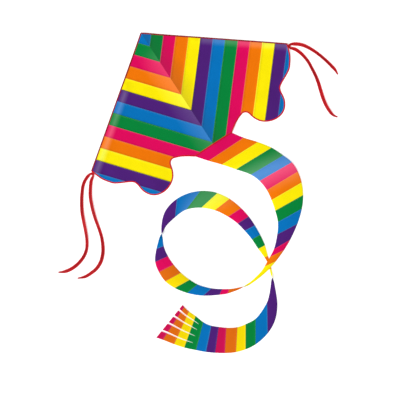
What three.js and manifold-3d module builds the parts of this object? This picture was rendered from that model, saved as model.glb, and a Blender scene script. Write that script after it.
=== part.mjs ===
// Single-line delta kite, laid out flat: rainbow sail in two wings hinged along a central spine,
// leading-edge spars in fabric sleeves, a clip-in spreader, a folding keel with a tow eyelet,
// two streamers on each wing tip and a long fringed ribbon tail that loops and crosses itself.
// Millimetres, +Z up, floor at z = 0, +Y towards the nose, +X towards the right wing.
import * as THREE from "three";
import { mergeVertices } from "three/addons/utils/BufferGeometryUtils.js";
import Module from "manifold-3d";

const wasm = await Module();
wasm.setup();

// ---------------------------------------------------------------- driving dimensions
const ORIGIN = [88, 772]; // where the nose sits, so that the origin is under the middle of the layout
const LE_LENGTH = 700; // leading edge, nose to wing tip
const HALF_ANGLE = THREE.MathUtils.degToRad(52.8); // leading edge to centreline
const SEAM_Y = -634.8; // trailing edge at the centre, where the tail joins
const SEAM_HALF = 104; // half width of the tail joint
const CLOTH = 0.8; // thickness of the sail solids
const FOLD_GAP = 0.5; // half gap between the wings at the spine

const ROD_R = 2; // spine and leading-edge rods
const SPREADER_R = 1.9;
const SPREADER_Y = -230;
const SPREADER_Z = 2.7;
const SPREADER_END = 271; // half length over the end caps
const SPINE_Z = 7.8;
const SPINE_FRONT = -16;
const SPINE_REAR = -616;
const SPAR_Z = 5.2;
const SPAR_INSET = 16; // spar axis, measured square to the leading edge
const SPAR_FROM = 278; // distances from the nose along the leading edge
const SPAR_TO = 676;
const SLEEVE_R = 3;
const BORE_GAP = 0.22; // radial running gap between rods and what they sit in

const Z_FLOOR_EDGE = 0.4; // underside of the sail where its trailing edge rests
const Z_BASE = 4.5; // how far the taut sail stands above that
const Z_RIDGE = 6.4; // further rise of the ridge over the spine
const Z_HUMP = 4.6; // further rise over the leading-edge spars
const RIDGE_WIDTH = 95;
const BINDING = 2.6;
const BINDING_INSET = 3.0; // edge of the sail solid behind the leading edge
const TRAIL_INSET = 4.6; // and ahead of the trailing edge

const KEEL_FRONT = -268;
const KEEL_REAR = -602;
const KEEL_DEPTH = 165;
const KEEL_TIP_Y = -312;
const KEEL_Z = 4.2;
const KEEL_TILT = THREE.MathUtils.degToRad(1.0);
const KEEL_EYELET = [143, -320];

const TAIL_THICK = 2.4;
const TAIL_LIFT = 3.4; // how far the tail rises where it crosses itself
const STREAMER_W = 12;
const STREAMER_T = 1.6;

// Trailing edge of the right wing from the tip to the tail joint.
const TRAILING = [
  [557.6, -423.2], [548, -452], [537, -481], [519, -508], [501, -529], [479, -543], [454, -555.5],
  [430, -568], [415, -580], [408, -598], [405.5, -620], [401, -641], [390, -662], [375, -678.5],
  [356, -689.5], [333, -694.5], [308, -693.5], [283.5, -686], [264, -675], [247.5, -660],
  [234.5, -639], [228, -621], [223.5, -603], [218, -593], [210, -587], [199, -584.5], [186, -588],
  [163, -597], [133, -614.5], [104, -634.8],
];

// Tail stations in order from the joint to the fringe: outer edge x, y, inner edge x, y.
const TAIL = [
  [104.0, -635.3, -104.0, -635.3], [137.8, -685.6, -62.1, -687.9], [184.3, -740.4, -19.4, -736.2],
  [224.6, -798.6, 25.2, -793.1], [245.4, -857.7, 72.0, -852.6], [267.4, -914.2, 90.0, -900.3],
  [270.0, -965.5, 95.7, -956.5], [247.9, -1021.3, 88.0, -1008.5], [221.3, -1075.3, 74.9, -1061.0],
  [184.0, -1124.0, 56.7, -1113.6], [129.5, -1171.8, 22.1, -1160.7], [60.6, -1215.4, -30.0, -1211.8],
  [7.7, -1241.4, -64.9, -1231.2], [-51.7, -1264.4, -113.1, -1256.3], [-95.4, -1278.1, -137.7, -1267.7],
  [-142.0, -1286.5, -174.8, -1276.0], [-191.8, -1291.0, -212.4, -1282.0], [-249.0, -1289.0, -252.0, -1279.0],
  [-310.6, -1274.0, -292.3, -1266.0], [-329.8, -1271.0, -314.6, -1254.7], [-368.7, -1252.0, -342.2, -1236.7],
  [-435.5, -1213.6, -382.3, -1207.2], [-490.9, -1162.8, -429.2, -1153.9], [-530.2, -1107.6, -447.2, -1115.9],
  [-550.2, -1058.6, -465.2, -1063.7], [-551.4, -1004.2, -472.9, -1012.5], [-541.3, -953.7, -473.8, -964.0],
  [-501.3, -904.5, -464.6, -911.3], [-444.0, -852.5, -436.5, -863.5], [-395.8, -795.8, -417.6, -844.5],
  [-355.8, -769.4, -386.9, -833.0], [-288.4, -756.2, -343.7, -826.3], [-228.8, -763.6, -309.4, -821.8],
  [-173.5, -786.4, -281.0, -823.7], [-137.7, -812.0, -245.5, -836.5], [-110.1, -839.7, -212.7, -856.2],
  [-76.9, -893.8, -165.5, -901.2], [-54.8, -960.7, -130.1, -960.7], [-46.4, -1013.5, -108.8, -1013.9],
  [-44.9, -1066.3, -99.7, -1060.3], [-48.0, -1116.8, -92.5, -1114.1], [-55.3, -1171.9, -92.9, -1169.1],
  [-72.0, -1222.0, -89.6, -1219.2], [-80.5, -1254.0, -91.0, -1254.2], [-90.5, -1282.1, -100.5, -1281.7],
  [-107.0, -1322.3, -118.0, -1322.9], [-131.1, -1380.3, -156.9, -1370.9], [-156.5, -1436.8, -177.8, -1391.6],
  [-192.7, -1484.6, -186.2, -1399.2], [-233.1, -1517.0, -190.9, -1403.0], [-280.8, -1535.0, -193.5, -1405.3],
  [-350.4, -1545.6, -284.5, -1444.2], [-404.2, -1539.7, -339.3, -1438.2], [-451.4, -1525.5, -379.7, -1430.2],
  [-496.6, -1501.2, -427.3, -1402.6], [-535.9, -1473.9, -453.6, -1379.8], [-570.7, -1446.8, -481.3, -1356.7],
  [-604.6, -1413.9, -505.1, -1320.6], [-646.6, -1372.3, -518.1, -1275.7], [-677.5, -1333.9, -533.8, -1239.3],
  [-709.4, -1287.5, -540.5, -1209.2], [-732.8, -1258.6, -542.1, -1196.8],
];
// Runs of sewn panels: first and last station of each.
const TAIL_RUNS = [[0, 3], [3, 7], [7, 11], [11, 17], [17, 23], [23, 28], [28, 35], [35, 46], [46, 51], [51, 57]];
const FRINGE_CUTS = [0, 0.142, 0.335, 0.55, 0.783, 1]; // shares of the width, from the inner edge

// Streamers: centrelines from the knot at the wing tip to the free end.
const STREAMERS = {
  streamer_outer_left: [[-569.5, -432.0], [-593.7, -437.6], [-624.8, -455.6], [-653.4, -487.9], [-676.9, -520.5], [-701.3, -561.6], [-720.6, -606.1], [-738.7, -651.4], [-755.9, -687.5], [-778.3, -720.3], [-804.2, -741.6], [-834.6, -755.0], [-867.6, -762.0], [-900.8, -762.1], [-929.5, -755.4], [-954.7, -742.4]],
  streamer_inner_left: [[-562.5, -445.5], [-583.4, -461.0], [-605.3, -487.5], [-626.2, -518.3], [-642.6, -553.0], [-656.5, -590.8], [-668.1, -630.6], [-678.5, -676.3], [-690.1, -716.1], [-706.9, -752.5], [-726.5, -782.5], [-756.8, -810.7], [-790.4, -826.5], [-827.1, -831.1], [-859.2, -829.6], [-893.4, -816.5]],
  streamer_outer_right: [[570.2, -434.4], [583.0, -441.0], [600.0, -453.1], [617.9, -471.1], [634.4, -496.6], [648.6, -526.4], [660.4, -559.2], [670.5, -595.4], [677.6, -629.1], [681.8, -653.6], [680.4, -678.2]],
  streamer_inner_right: [[559.2, -447.0], [574.0, -464.0], [585.5, -488.5], [592.4, -517.4], [595.3, -550.5], [592.6, -586.3], [588.4, -625.2], [580.9, -662.0], [570.5, -697.4], [559.8, -735.2], [553.6, -769.4], [552.3, -802.5], [556.6, -829.7], [568.6, -848.4]],
};

// ---------------------------------------------------------------- materials
const mat = (color, roughness = 0.6, metalness = 0) =>
  new THREE.MeshStandardMaterial({ color, roughness, metalness });
const M = {
  sail: () => mat(0x00853a, 0.5),
  sleeve: () => mat(0x50207a, 0.7),
  binding: () => mat(0xc81420, 0.6),
  rod: () => mat(0x2a2b2e, 0.35),
  vinyl: () => mat(0x1b1b1d, 0.45),
  webbing: () => mat(0x202024, 0.85),
  metal: () => mat(0xb9bcc0, 0.3, 0.9),
  pink: () => mat(0xe0085f, 0.5),
  tail: (c) => mat(c, 0.45),
};

// ---------------------------------------------------------------- helpers
const root = new THREE.Group();
const kite = new THREE.Group();
kite.position.set(ORIGIN[0], ORIGIN[1], 0);
root.add(kite);

function add(name, geometry, material, parent = kite) {
  const mesh = new THREE.Mesh(geometry, material);
  mesh.name = name;
  parent.add(mesh);
  return mesh;
}

// A closed solid between two grids of points, top[i][j] and bottom[i][j].
function gridSolid(top, bottom) {
  const nu = top.length;
  const nv = top[0].length;
  const verts = [];
  for (const g of [top, bottom]) for (const row of g) for (const p of row) verts.push(...p);
  const at = (side, i, j) => side * nu * nv + i * nv + j;
  const idx = [];
  const quad = (a, b, c, d) => idx.push(a, b, c, a, c, d);
  for (let i = 0; i < nu - 1; i++)
    for (let j = 0; j < nv - 1; j++) {
      quad(at(0, i, j), at(0, i + 1, j), at(0, i + 1, j + 1), at(0, i, j + 1));
      quad(at(1, i, j), at(1, i, j + 1), at(1, i + 1, j + 1), at(1, i + 1, j));
    }
  for (let i = 0; i < nu - 1; i++) {
    quad(at(0, i, 0), at(1, i, 0), at(1, i + 1, 0), at(0, i + 1, 0));
    quad(at(0, i, nv - 1), at(0, i + 1, nv - 1), at(1, i + 1, nv - 1), at(1, i, nv - 1));
  }
  for (let j = 0; j < nv - 1; j++) {
    quad(at(0, 0, j), at(0, 0, j + 1), at(1, 0, j + 1), at(1, 0, j));
    quad(at(0, nu - 1, j), at(1, nu - 1, j), at(1, nu - 1, j + 1), at(0, nu - 1, j + 1));
  }
  let volume = 0;
  const P = (k) => new THREE.Vector3(verts[3 * k], verts[3 * k + 1], verts[3 * k + 2]);
  for (let t = 0; t < idx.length; t += 3)
    volume += P(idx[t]).dot(P(idx[t + 1]).cross(P(idx[t + 2]))) / 6;
  if (volume < 0)
    for (let t = 0; t < idx.length; t += 3) [idx[t + 1], idx[t + 2]] = [idx[t + 2], idx[t + 1]];
  const g = new THREE.BufferGeometry();
  g.setAttribute("position", new THREE.Float32BufferAttribute(verts, 3));
  g.setIndex(idx);
  g.computeVertexNormals();
  return g;
}

// A turned piece: profile of [radius, distance], turned about a line from a to b, distance from a.
function turned(profile, sides, a, dir) {
  const g = new THREE.LatheGeometry(profile.map(([r, y]) => new THREE.Vector2(r, y)), sides);
  const q = new THREE.Quaternion().setFromUnitVectors(new THREE.Vector3(0, 1, 0), dir.clone().normalize());
  g.applyQuaternion(q);
  g.translate(a.x, a.y, a.z);
  return g;
}
const rodProfile = (r, l) => [[0, 0], [r, 0], [r, l], [0, l]];
const tubeProfile = (ro, ri, l) => [[ri, 0], [ro, 0], [ro, l], [ri, l], [ri, 0]];
// A cup that is closed at distance 0 and open at distance l.
const cupProfile = (ro, ri, wall, l) => [[0, 0], [ro * 0.7, 0], [ro, 0.8], [ro, l], [ri, l], [ri, wall], [0, wall]];

function solidOf(g) {
  let p = g.index ? g.clone() : g;
  for (const k of Object.keys(p.attributes)) if (k !== "position") p.deleteAttribute(k);
  p = mergeVertices(p, 1e-4);
  return new wasm.Manifold(
    new wasm.Mesh({
      numProp: 3,
      vertProperties: new Float32Array(p.attributes.position.array),
      triVerts: new Uint32Array(p.index.array),
    }),
  );
}
function geometryOf(solid) {
  const m = solid.getMesh();
  const g = new THREE.BufferGeometry();
  g.setAttribute("position", new THREE.Float32BufferAttribute(Array.from(m.vertProperties), 3));
  g.setIndex(Array.from(m.triVerts));
  g.computeVertexNormals();
  return g;
}

// ---------------------------------------------------------------- wing outline
const LE_DIR = new THREE.Vector3(Math.sin(HALF_ANGLE), -Math.cos(HALF_ANGLE), 0);
const LE_IN = new THREE.Vector3(-Math.cos(HALF_ANGLE), -Math.sin(HALF_ANGLE), 0); // inboard normal, right wing
const lePoint = (s, d = 0) => LE_DIR.clone().multiplyScalar(s).addScaledVector(LE_IN, d);
const leY = (x) => -x / Math.tan(HALF_ANGLE);

const trailingCurve = new THREE.CatmullRomCurve3(
  TRAILING.map(([x, y]) => new THREE.Vector3(x, y, 0)), false, "centripetal",
);
const TRAIL = trailingCurve.getSpacedPoints(130);
function offsetTrail(d) {
  return TRAIL.map((p, i) => {
    const a = TRAIL[Math.max(0, i - 1)];
    const b = TRAIL[Math.min(TRAIL.length - 1, i + 1)];
    const t = b.clone().sub(a).normalize();
    return p.clone().add(new THREE.Vector3(t.y, -t.x, 0).multiplyScalar(d)); // d > 0 is towards the sail
  });
}
const interp = (pts) => {
  const s = [...pts].sort((a, b) => a.x - b.x);
  return (x) => {
    if (x <= s[0].x) return s[0].y;
    for (let i = 1; i < s.length; i++)
      if (x <= s[i].x) {
        const t = (x - s[i - 1].x) / Math.max(1e-9, s[i].x - s[i - 1].x);
        return s[i - 1].y + t * (s[i].y - s[i - 1].y);
      }
    return s[s.length - 1].y;
  };
};
const teOuter = interp(TRAIL);
const teInner = interp(offsetTrail(TRAIL_INSET));

// ---------------------------------------------------------------- height of the sail's underside
const clamp01 = (t) => Math.min(1, Math.max(0, t));
const smooth = (t) => { const c = clamp01(t); return c * c * (3 - 2 * c); };
function sailUnder(x, y) {
  const ax = Math.abs(x);
  const d = ax * LE_IN.x + y * LE_IN.y; // square distance inboard of the leading edge
  const s = ax * LE_DIR.x + y * LE_DIR.y; // distance along it
  let te = 1e9; // distance to the trailing edge
  for (let i = 0; i < TRAIL.length; i += 2) te = Math.min(te, Math.hypot(ax - TRAIL[i].x, y - TRAIL[i].y));
  const rear = smooth(te / 80);
  const hump = d > SPAR_INSET ? 1 - (d - SPAR_INSET) / 45 : 1 - (SPAR_INSET - d) / 19.8;
  const along = smooth((s - 232) / 34);
  const spar = Math.pow(clamp01(hump), 1.4) * along;
  const near = smooth((d > SPAR_INSET ? 1 - (d - SPAR_INSET) / 70 : 1)) * along;
  const mid = smooth((215 - ax) / 105);
  const held = 1 - (1 - rear) * (1 - near) * (1 - mid);
  const ridge = Math.pow(clamp01(1 - ax / RIDGE_WIDTH), 1.6);
  return Z_FLOOR_EDGE + Z_BASE * held + Z_RIDGE * ridge + Z_HUMP * spar;
}

// ---------------------------------------------------------------- spine group
const Y = new THREE.Vector3(0, 1, 0);
const spineLen = SPINE_FRONT - SPINE_REAR;
add("spine_rod", turned(rodProfile(ROD_R, spineLen - 4), 16, new THREE.Vector3(0, SPINE_REAR + 2, SPINE_Z), Y), M.rod());
add("spine_nose_cap", turned(cupProfile(2.6, ROD_R + BORE_GAP, 1.7, 14), 16, new THREE.Vector3(0, SPINE_FRONT, SPINE_Z), Y.clone().negate()), M.vinyl());
add("spine_tail_cap", turned(cupProfile(2.6, ROD_R + BORE_GAP, 1.7, 14), 16, new THREE.Vector3(0, SPINE_REAR, SPINE_Z), Y), M.vinyl());
add("nose_pocket", turned(cupProfile(3.1, 2.8, 1.2, 26), 16, new THREE.Vector3(0, SPINE_FRONT + 1.6, SPINE_Z), Y.clone().negate()), M.webbing());
add("spine_sleeve", turned(tubeProfile(2.9, ROD_R + 0.4, 556), 16, new THREE.Vector3(0, SPINE_REAR + 16, SPINE_Z), Y), M.sleeve());

// Header band of the tail, under the rim of the sail.
const HEADER_X = [-103.4, -95, -70, -45, -20, 0, 20, 45, 70, 95, 103.4];
const bandGrid = (xs, y0, y1, z0, z1) => {
  const rows = [y0, y1];
  return gridSolid(
    xs.map((x) => rows.map((y) => [x, y, sailUnder(x, y) + z1])),
    xs.map((x) => rows.map((y) => [x, y, sailUnder(x, y) + z0])),
  );
};
add("tail_header", bandGrid(HEADER_X, -634.6, -620.5, -2.5, -1.5), M.tail(0xe0085f));

// ---------------------------------------------------------------- one wing
const COLUMNS = [FOLD_GAP, 20, 45, 70, 95, 104, 109, 122, 140, 160, 180, 195, 205, 213, 219, 225, 230, 238, 248, 262, 280, 300, 320, 340, 360, 378, 392, 400, 404, 407.5, 412, 420, 434, 452, 472, 492, 512, 528, 541];
const ROW_AT = [0, 10, 20.1, 32, 56]; // distances behind the leading edge, along Y
const ROW_REST = 5;

function wing(side) {
  const sgn = side === "right" ? 1 : -1;
  const put = (p) => [sgn * p.x, p.y, p.z];
  const g = new THREE.Group();
  kite.add(g);
  // sail
  const tipX = 548.5;
  const xs = [...COLUMNS, tipX];
  const top = [];
  const bottom = [];
  for (const x of xs) {
    const yLe = leY(x) - BINDING_INSET / Math.sin(HALF_ANGLE);
    const yTe = x <= SEAM_HALF ? SEAM_Y : teInner(x);
    const h = yLe - yTe;
    const offs = ROW_AT.map((o, j) => Math.min(o, (h * j) / (ROW_AT.length - 1 + ROW_REST)));
    const last = offs[offs.length - 1];
    for (let j = 1; j <= ROW_REST; j++) offs.push(last + ((h - last) * j) / ROW_REST);
    const a = [];
    const b = [];
    for (const o of offs) {
      const y = yLe - o;
      const z = sailUnder(x, y);
      a.push([sgn * x, y, z + CLOTH]);
      b.push([sgn * x, y, z]);
    }
    top.push(a);
    bottom.push(b);
  }
  add(`sail_${side}`, gridSolid(top, bottom), M.sail(), g);

  // leading-edge binding, outside the edge of the sail solid
  const ls = [2.8, 60, 120, 180, 232, 249, 266, 290, 400, 500, 600, 660, 697];
  const strip = (pairs) =>
    gridSolid(
      pairs.map(([o, i]) => [o, i].map((p) => [sgn * p.x, p.y, sailUnder(p.x, p.y) + 1.1])),
      pairs.map(([o, i]) => [o, i].map((p) => [sgn * p.x, p.y, sailUnder(p.x, p.y) - 0.2])),
    );
  add(`leading_binding_${side}`, strip(ls.map((s) => [lePoint(s, 0), lePoint(s, BINDING)])), M.binding(), g);

  // trailing-edge binding
  const inner = offsetTrail(BINDING);
  const keep = TRAIL.map((_, i) => i).filter((i) => i >= 2 && TRAIL[i].x >= 112 && (i % 2 === 0));
  add(`trailing_binding_${side}`, strip(keep.map((i) => [TRAIL[i], inner[i]])), M.binding(), g);

  // spar and what sits on it
  const dir = new THREE.Vector3(sgn * LE_DIR.x, LE_DIR.y, 0);
  const on = (s) => {
    const p = lePoint(s, SPAR_INSET);
    return new THREE.Vector3(sgn * p.x, p.y, SPAR_Z);
  };
  const back = dir.clone().negate();
  add(`leading_spar_${side}`, turned(rodProfile(ROD_R, SPAR_TO - SPAR_FROM - 4), 16, on(SPAR_FROM + 2), dir), M.rod(), g);
  add(`spar_upper_cap_${side}`, turned(cupProfile(2.6, ROD_R + BORE_GAP, 1.7, 14), 16, on(SPAR_FROM), dir), M.vinyl(), g);
  add(`spar_tip_cap_${side}`, turned(cupProfile(2.6, ROD_R + BORE_GAP, 1.7, 14), 16, on(SPAR_TO), back), M.vinyl(), g);
  add(`tip_pocket_${side}`, turned(cupProfile(3.2, 2.85, 1.2, 24), 16, on(SPAR_TO + 1.6), back), M.webbing(), g);
  const sC = -(SPREADER_Y - SPAR_INSET * LE_IN.y) / Math.cos(HALF_ANGLE); // station of the spreader on the spar
  add(`leading_sleeve_upper_${side}`, turned(tubeProfile(SLEEVE_R, ROD_R + 0.4, sC - 21 - (SPAR_FROM + 15)), 16, on(SPAR_FROM + 15), dir), M.sleeve(), g);
  add(`leading_sleeve_lower_${side}`, turned(tubeProfile(SLEEVE_R, ROD_R + 0.4, SPAR_TO - 23 - (sC + 21)), 16, on(sC + 21), dir), M.sleeve(), g);
  add(`stop_ring_upper_${side}`, turned(tubeProfile(3.2, ROD_R + BORE_GAP, 3), 16, on(sC - 16.6), dir), M.vinyl(), g);
  add(`stop_ring_lower_${side}`, turned(tubeProfile(3.2, ROD_R + BORE_GAP, 3), 16, on(sC + 13.6), dir), M.vinyl(), g);

  // spreader connector: a tube on the spar with an arm whose channel is open below
  const c = on(sC);
  let body = solidOf(turned(rodProfile(3.4, 26), 20, on(sC - 13), dir));
  const arm = new THREE.BoxGeometry(31, 8.8, 5.7);
  arm.translate(sgn * (c.x * sgn - 14.5), SPREADER_Y, 0.6 + 2.85);
  body = body.add(solidOf(arm));
  body = body.subtract(solidOf(turned(rodProfile(ROD_R + BORE_GAP, 40), 20, on(sC - 20), dir)));
  const chan = new THREE.Shape();
  const cr = 2.95;
  chan.moveTo(-cr, -4);
  chan.lineTo(cr, -4);
  chan.lineTo(cr, SPREADER_Z);
  chan.absarc(0, SPREADER_Z, cr, 0, Math.PI, false);
  chan.lineTo(-cr, -4);
  const channel = new THREE.ExtrudeGeometry(chan, { depth: 40, bevelEnabled: false, curveSegments: 8 });
  channel.rotateX(Math.PI / 2);
  channel.rotateZ(Math.PI / 2);
  channel.translate(0, SPREADER_Y, 0);
  const cb = new THREE.Box3().setFromBufferAttribute(channel.attributes.position);
  // slide it so that its outboard wall stands just beyond the end of the spreader
  const outboard = SPREADER_END + 0.4;
  channel.translate(sgn > 0 ? outboard - cb.max.x : -outboard - cb.min.x, 0, 0);
  body = body.subtract(solidOf(channel));
  add(`spreader_connector_${side}`, geometryOf(body), M.vinyl(), g);

  // hook strip that holds the tail's header
  const hx = [4, 20, 45, 70, 95, 103.4].map((x) => sgn * x);
  add(`hook_strip_${side}`, bandGrid(hx, -633.4, -621.5, -1.2, -0.4), M.webbing(), g);

  // knot that ties the streamers to the wing tip
  const knot = new THREE.SphereGeometry(1, 14, 9);
  knot.scale(8.8, 7.8, 3.5);
  knot.translate(sgn * 559.8, -436.8, 4.0);
  add(`streamer_knot_${side}`, knot, M.binding(), g);

  // streamers
  const sec = new THREE.Shape();
  const hw = STREAMER_W / 2;
  const ht = STREAMER_T / 2;
  [[-ht, -hw + 0.8], [-ht + 0.5, -hw], [ht - 0.5, -hw], [ht, -hw + 0.8], [ht, hw - 0.8], [ht - 0.5, hw], [-ht + 0.5, hw], [-ht, hw - 0.8]].forEach(([x, y], i) =>
    i ? sec.lineTo(x, y) : sec.moveTo(x, y),
  );
  for (const which of ["outer", "inner"]) {
    const pts = STREAMERS[`streamer_${which}_${side}`];
    const curve = new THREE.CatmullRomCurve3(pts.map(([x, y]) => new THREE.Vector3(x, y, ht + 0.05)), false, "centripetal");
    const steps = Math.round(curve.getLength() / 24);
    add(`streamer_${which}_${side}`, new THREE.ExtrudeGeometry(sec, { steps, bevelEnabled: false, extrudePath: curve }), M.binding(), g);
  }
}
wing("left");
wing("right");

// ---------------------------------------------------------------- spreader
const X = new THREE.Vector3(1, 0, 0);
const sp = new THREE.Group();
kite.add(sp);
add("spreader_rod", turned(rodProfile(SPREADER_R, 2 * (SPREADER_END - 2)), 16, new THREE.Vector3(-(SPREADER_END - 2), SPREADER_Y, SPREADER_Z), X), M.rod(), sp);
add("spreader_cap_left", turned(cupProfile(2.7, SPREADER_R + BORE_GAP, 1.7, 22), 16, new THREE.Vector3(-SPREADER_END, SPREADER_Y, SPREADER_Z), X), M.vinyl(), sp);
add("spreader_cap_right", turned(cupProfile(2.7, SPREADER_R + BORE_GAP, 1.7, 22), 16, new THREE.Vector3(SPREADER_END, SPREADER_Y, SPREADER_Z), X.clone().negate()), M.vinyl(), sp);

// ---------------------------------------------------------------- keel, folded under the right wing
const keel = new THREE.Group();
keel.position.set(0, 0, KEEL_Z);
keel.rotation.y = KEEL_TILT;
kite.add(keel);
const hole = (shape, r) => {
  const h = new THREE.Path();
  for (let i = 0; i < 18; i++) {
    const a = (2 * Math.PI * i) / 18;
    const x = KEEL_EYELET[0] + r * Math.cos(a);
    const y = KEEL_EYELET[1] + r * Math.sin(a);
    i ? h.lineTo(x, y) : h.moveTo(x, y);
  }
  shape.holes.push(h);
  return shape;
};
const flat = (pts) => {
  const s = new THREE.Shape();
  pts.forEach(([x, y], i) => (i ? s.lineTo(x, y) : s.moveTo(x, y)));
  return s;
};
const panelPts = [[0.5, KEEL_FRONT - 3], [KEEL_DEPTH - 9, KEEL_TIP_Y + 2.2], [KEEL_DEPTH - 4, KEEL_TIP_Y - 4], [KEEL_DEPTH - 5.4, KEEL_TIP_Y - 9], [0.5, KEEL_REAR + 6]];
const panel = new THREE.ExtrudeGeometry(hole(flat(panelPts), 5.3), { depth: 0.8, bevelEnabled: false, curveSegments: 16 });
panel.translate(0, 0, -0.4);
add("keel_panel", panel, M.pink(), keel);
const bindPts = [[0.5, KEEL_FRONT - 0.4], [KEEL_DEPTH - 8, KEEL_TIP_Y + 5.2], [KEEL_DEPTH, KEEL_TIP_Y - 3.5], [KEEL_DEPTH - 1.5, KEEL_TIP_Y - 9.6], [0.5, KEEL_REAR + 0.4], [0.5, KEEL_REAR + 5.4], [KEEL_DEPTH - 4.9, KEEL_TIP_Y - 9.2], [KEEL_DEPTH - 3.6, KEEL_TIP_Y - 4.0], [KEEL_DEPTH - 8.8, KEEL_TIP_Y + 2.6], [0.5, KEEL_FRONT - 2.6]];
const bind = new THREE.ExtrudeGeometry(flat(bindPts), { depth: 1.2, bevelEnabled: false });
bind.translate(0, 0, -0.6);
add("keel_binding", bind, M.binding(), keel);
const patchPts = [[112, -303.5], [146, -311], [155, -317], [155, -322], [122, -372], [108, -340]];
const patch = new THREE.ExtrudeGeometry(hole(flat(patchPts), 5.3), { depth: 0.6, bevelEnabled: false, curveSegments: 16 });
patch.translate(0, 0, 0.7);
add("keel_patch", patch, M.webbing(), keel);
add(
  "keel_eyelet",
  turned([[3, -0.9], [3.4, -1.3], [7, -1.3], [7.2, -1.0], [7, -0.7], [5, -0.7], [5, 1.6], [7, 1.6], [7.2, 1.9], [7, 2.2], [3.4, 2.2], [3, 1.8], [3, -0.9]], 20, new THREE.Vector3(KEEL_EYELET[0], KEEL_EYELET[1], 0), new THREE.Vector3(0, 1, 0)),
  M.metal(),
  keel,
);
// the eyelet's axis is square to the panel
keel.children[keel.children.length - 1].geometry.translate(-KEEL_EYELET[0], -KEEL_EYELET[1], 0).rotateX(Math.PI / 2).translate(KEEL_EYELET[0], KEEL_EYELET[1], 0);

// ---------------------------------------------------------------- tail
const tail = new THREE.Group();
kite.add(tail);
const run = [0];
for (let i = 1; i < TAIL.length; i++) {
  const a = TAIL[i - 1];
  const b = TAIL[i];
  run.push(run[i - 1] + Math.hypot((a[0] + a[2] - b[0] - b[2]) / 2, (a[1] + a[3] - b[1] - b[3]) / 2));
}
const tailBase = (x, s) => {
  const start = sailUnder(Math.min(104, Math.abs(x)), SEAM_Y) - 2.5;
  const fall = smooth(s / 95);
  const over = smooth((s - 655) / 75) * smooth((930 - s) / 75);
  return start * (1 - fall) + TAIL_LIFT * over;
};
const tailThick = (s) => 1 + (TAIL_THICK - 1) * smooth(s / 140);
// a run of panels from station a to b, between two shares of the width (0 inner, 1 outer)
function tailSolid(stations, w0, w1, cols, sOf) {
  const top = [];
  const bottom = [];
  stations.forEach((st, i) => {
    const s = sOf[i];
    const ra = [];
    const rb = [];
    for (let j = 0; j <= cols; j++) {
      const w = w0 + ((w1 - w0) * j) / cols;
      const x = st[2] + (st[0] - st[2]) * w;
      const y = st[3] + (st[1] - st[3]) * w;
      const z = tailBase(x, s);
      ra.push([x, y, z + tailThick(s)]);
      rb.push([x, y, z]);
    }
    top.push(ra);
    bottom.push(rb);
  });
  return gridSolid(top, bottom);
}
const mixStation = (a, b, t) => a.map((v, k) => v + (b[k] - v) * t);
const tailColours = [0xe0085f, 0xf07800, 0xfff000, 0x00853a, 0x0072bc, 0x50207a];
TAIL_RUNS.forEach(([a, b], n) => {
  const st = [];
  const ss = [];
  const half = 0.17; // half of the gap between neighbouring runs
  for (let i = a; i <= b; i++) {
    if (i === a && a > 0) {
      const t = half / (run[a + 1] - run[a]);
      st.push(mixStation(TAIL[a], TAIL[a + 1], t));
      ss.push(run[a] + half);
    } else if (i === b) {
      const t = 1 - half / (run[b] - run[b - 1]);
      st.push(mixStation(TAIL[b - 1], TAIL[b], t));
      ss.push(run[b] - half);
    } else {
      st.push(TAIL[i]);
      ss.push(run[i]);
    }
  }
  add(`tail_run_${n + 1}`, tailSolid(st, 0, 1, n === 0 ? 10 : 1, ss), M.tail(tailColours[n % 6]), tail);
});
// fringe strips from the last run to the free end
const fr = TAIL_RUNS[TAIL_RUNS.length - 1][1];
for (let k = 0; k < 5; k++) {
  const st = [];
  const ss = [];
  for (let i = fr; i < TAIL.length; i++) {
    const t = i === fr ? 0.25 / (run[fr + 1] - run[fr]) : 0;
    st.push(i === fr ? mixStation(TAIL[fr], TAIL[fr + 1], t) : TAIL[i]);
    ss.push(run[i]);
  }
  const open = 0.006; // share of the width left open on each side of a cut
  const w0 = FRINGE_CUTS[k] + (k ? open : 0);
  const w1 = FRINGE_CUTS[k + 1] - (k < 4 ? open : 0);
  add(`fringe_strip_${k + 1}`, tailSolid(st, w0, w1, 1, ss), M.tail(tailColours[(k + 3) % 6]), tail);
}

export default root;
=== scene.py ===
import math

import bmesh
import bpy
import numpy as np
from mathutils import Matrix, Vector
from mathutils.geometry import delaunay_2d_cdt


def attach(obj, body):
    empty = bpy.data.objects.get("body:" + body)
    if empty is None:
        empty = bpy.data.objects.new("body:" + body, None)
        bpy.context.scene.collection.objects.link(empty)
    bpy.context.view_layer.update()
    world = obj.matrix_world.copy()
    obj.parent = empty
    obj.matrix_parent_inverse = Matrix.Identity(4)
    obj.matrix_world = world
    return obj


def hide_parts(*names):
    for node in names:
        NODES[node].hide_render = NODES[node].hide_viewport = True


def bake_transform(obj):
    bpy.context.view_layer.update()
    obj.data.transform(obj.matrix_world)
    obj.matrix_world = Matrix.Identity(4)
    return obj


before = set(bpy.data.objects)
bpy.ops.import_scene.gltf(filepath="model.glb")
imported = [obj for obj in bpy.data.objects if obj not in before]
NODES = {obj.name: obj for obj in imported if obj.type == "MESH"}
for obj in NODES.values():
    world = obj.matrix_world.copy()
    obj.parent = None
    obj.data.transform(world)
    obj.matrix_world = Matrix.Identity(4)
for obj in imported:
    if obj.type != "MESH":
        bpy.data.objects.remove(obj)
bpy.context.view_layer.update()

# ------------------------------------------------------------------ dimensions, millimetres from the nose
OX, OY = 88.0, 772.0
HALF = math.radians(52.8)
SEAM_Y, SEAM_HALF = -634.8, 104.0
LE_DIR = np.array([math.sin(HALF), -math.cos(HALF)])
LE_IN = np.array([-math.cos(HALF), -math.sin(HALF)])
CLOTH_TOP = 0.62  # middle of the sail cloth above the underside of its solid
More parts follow.
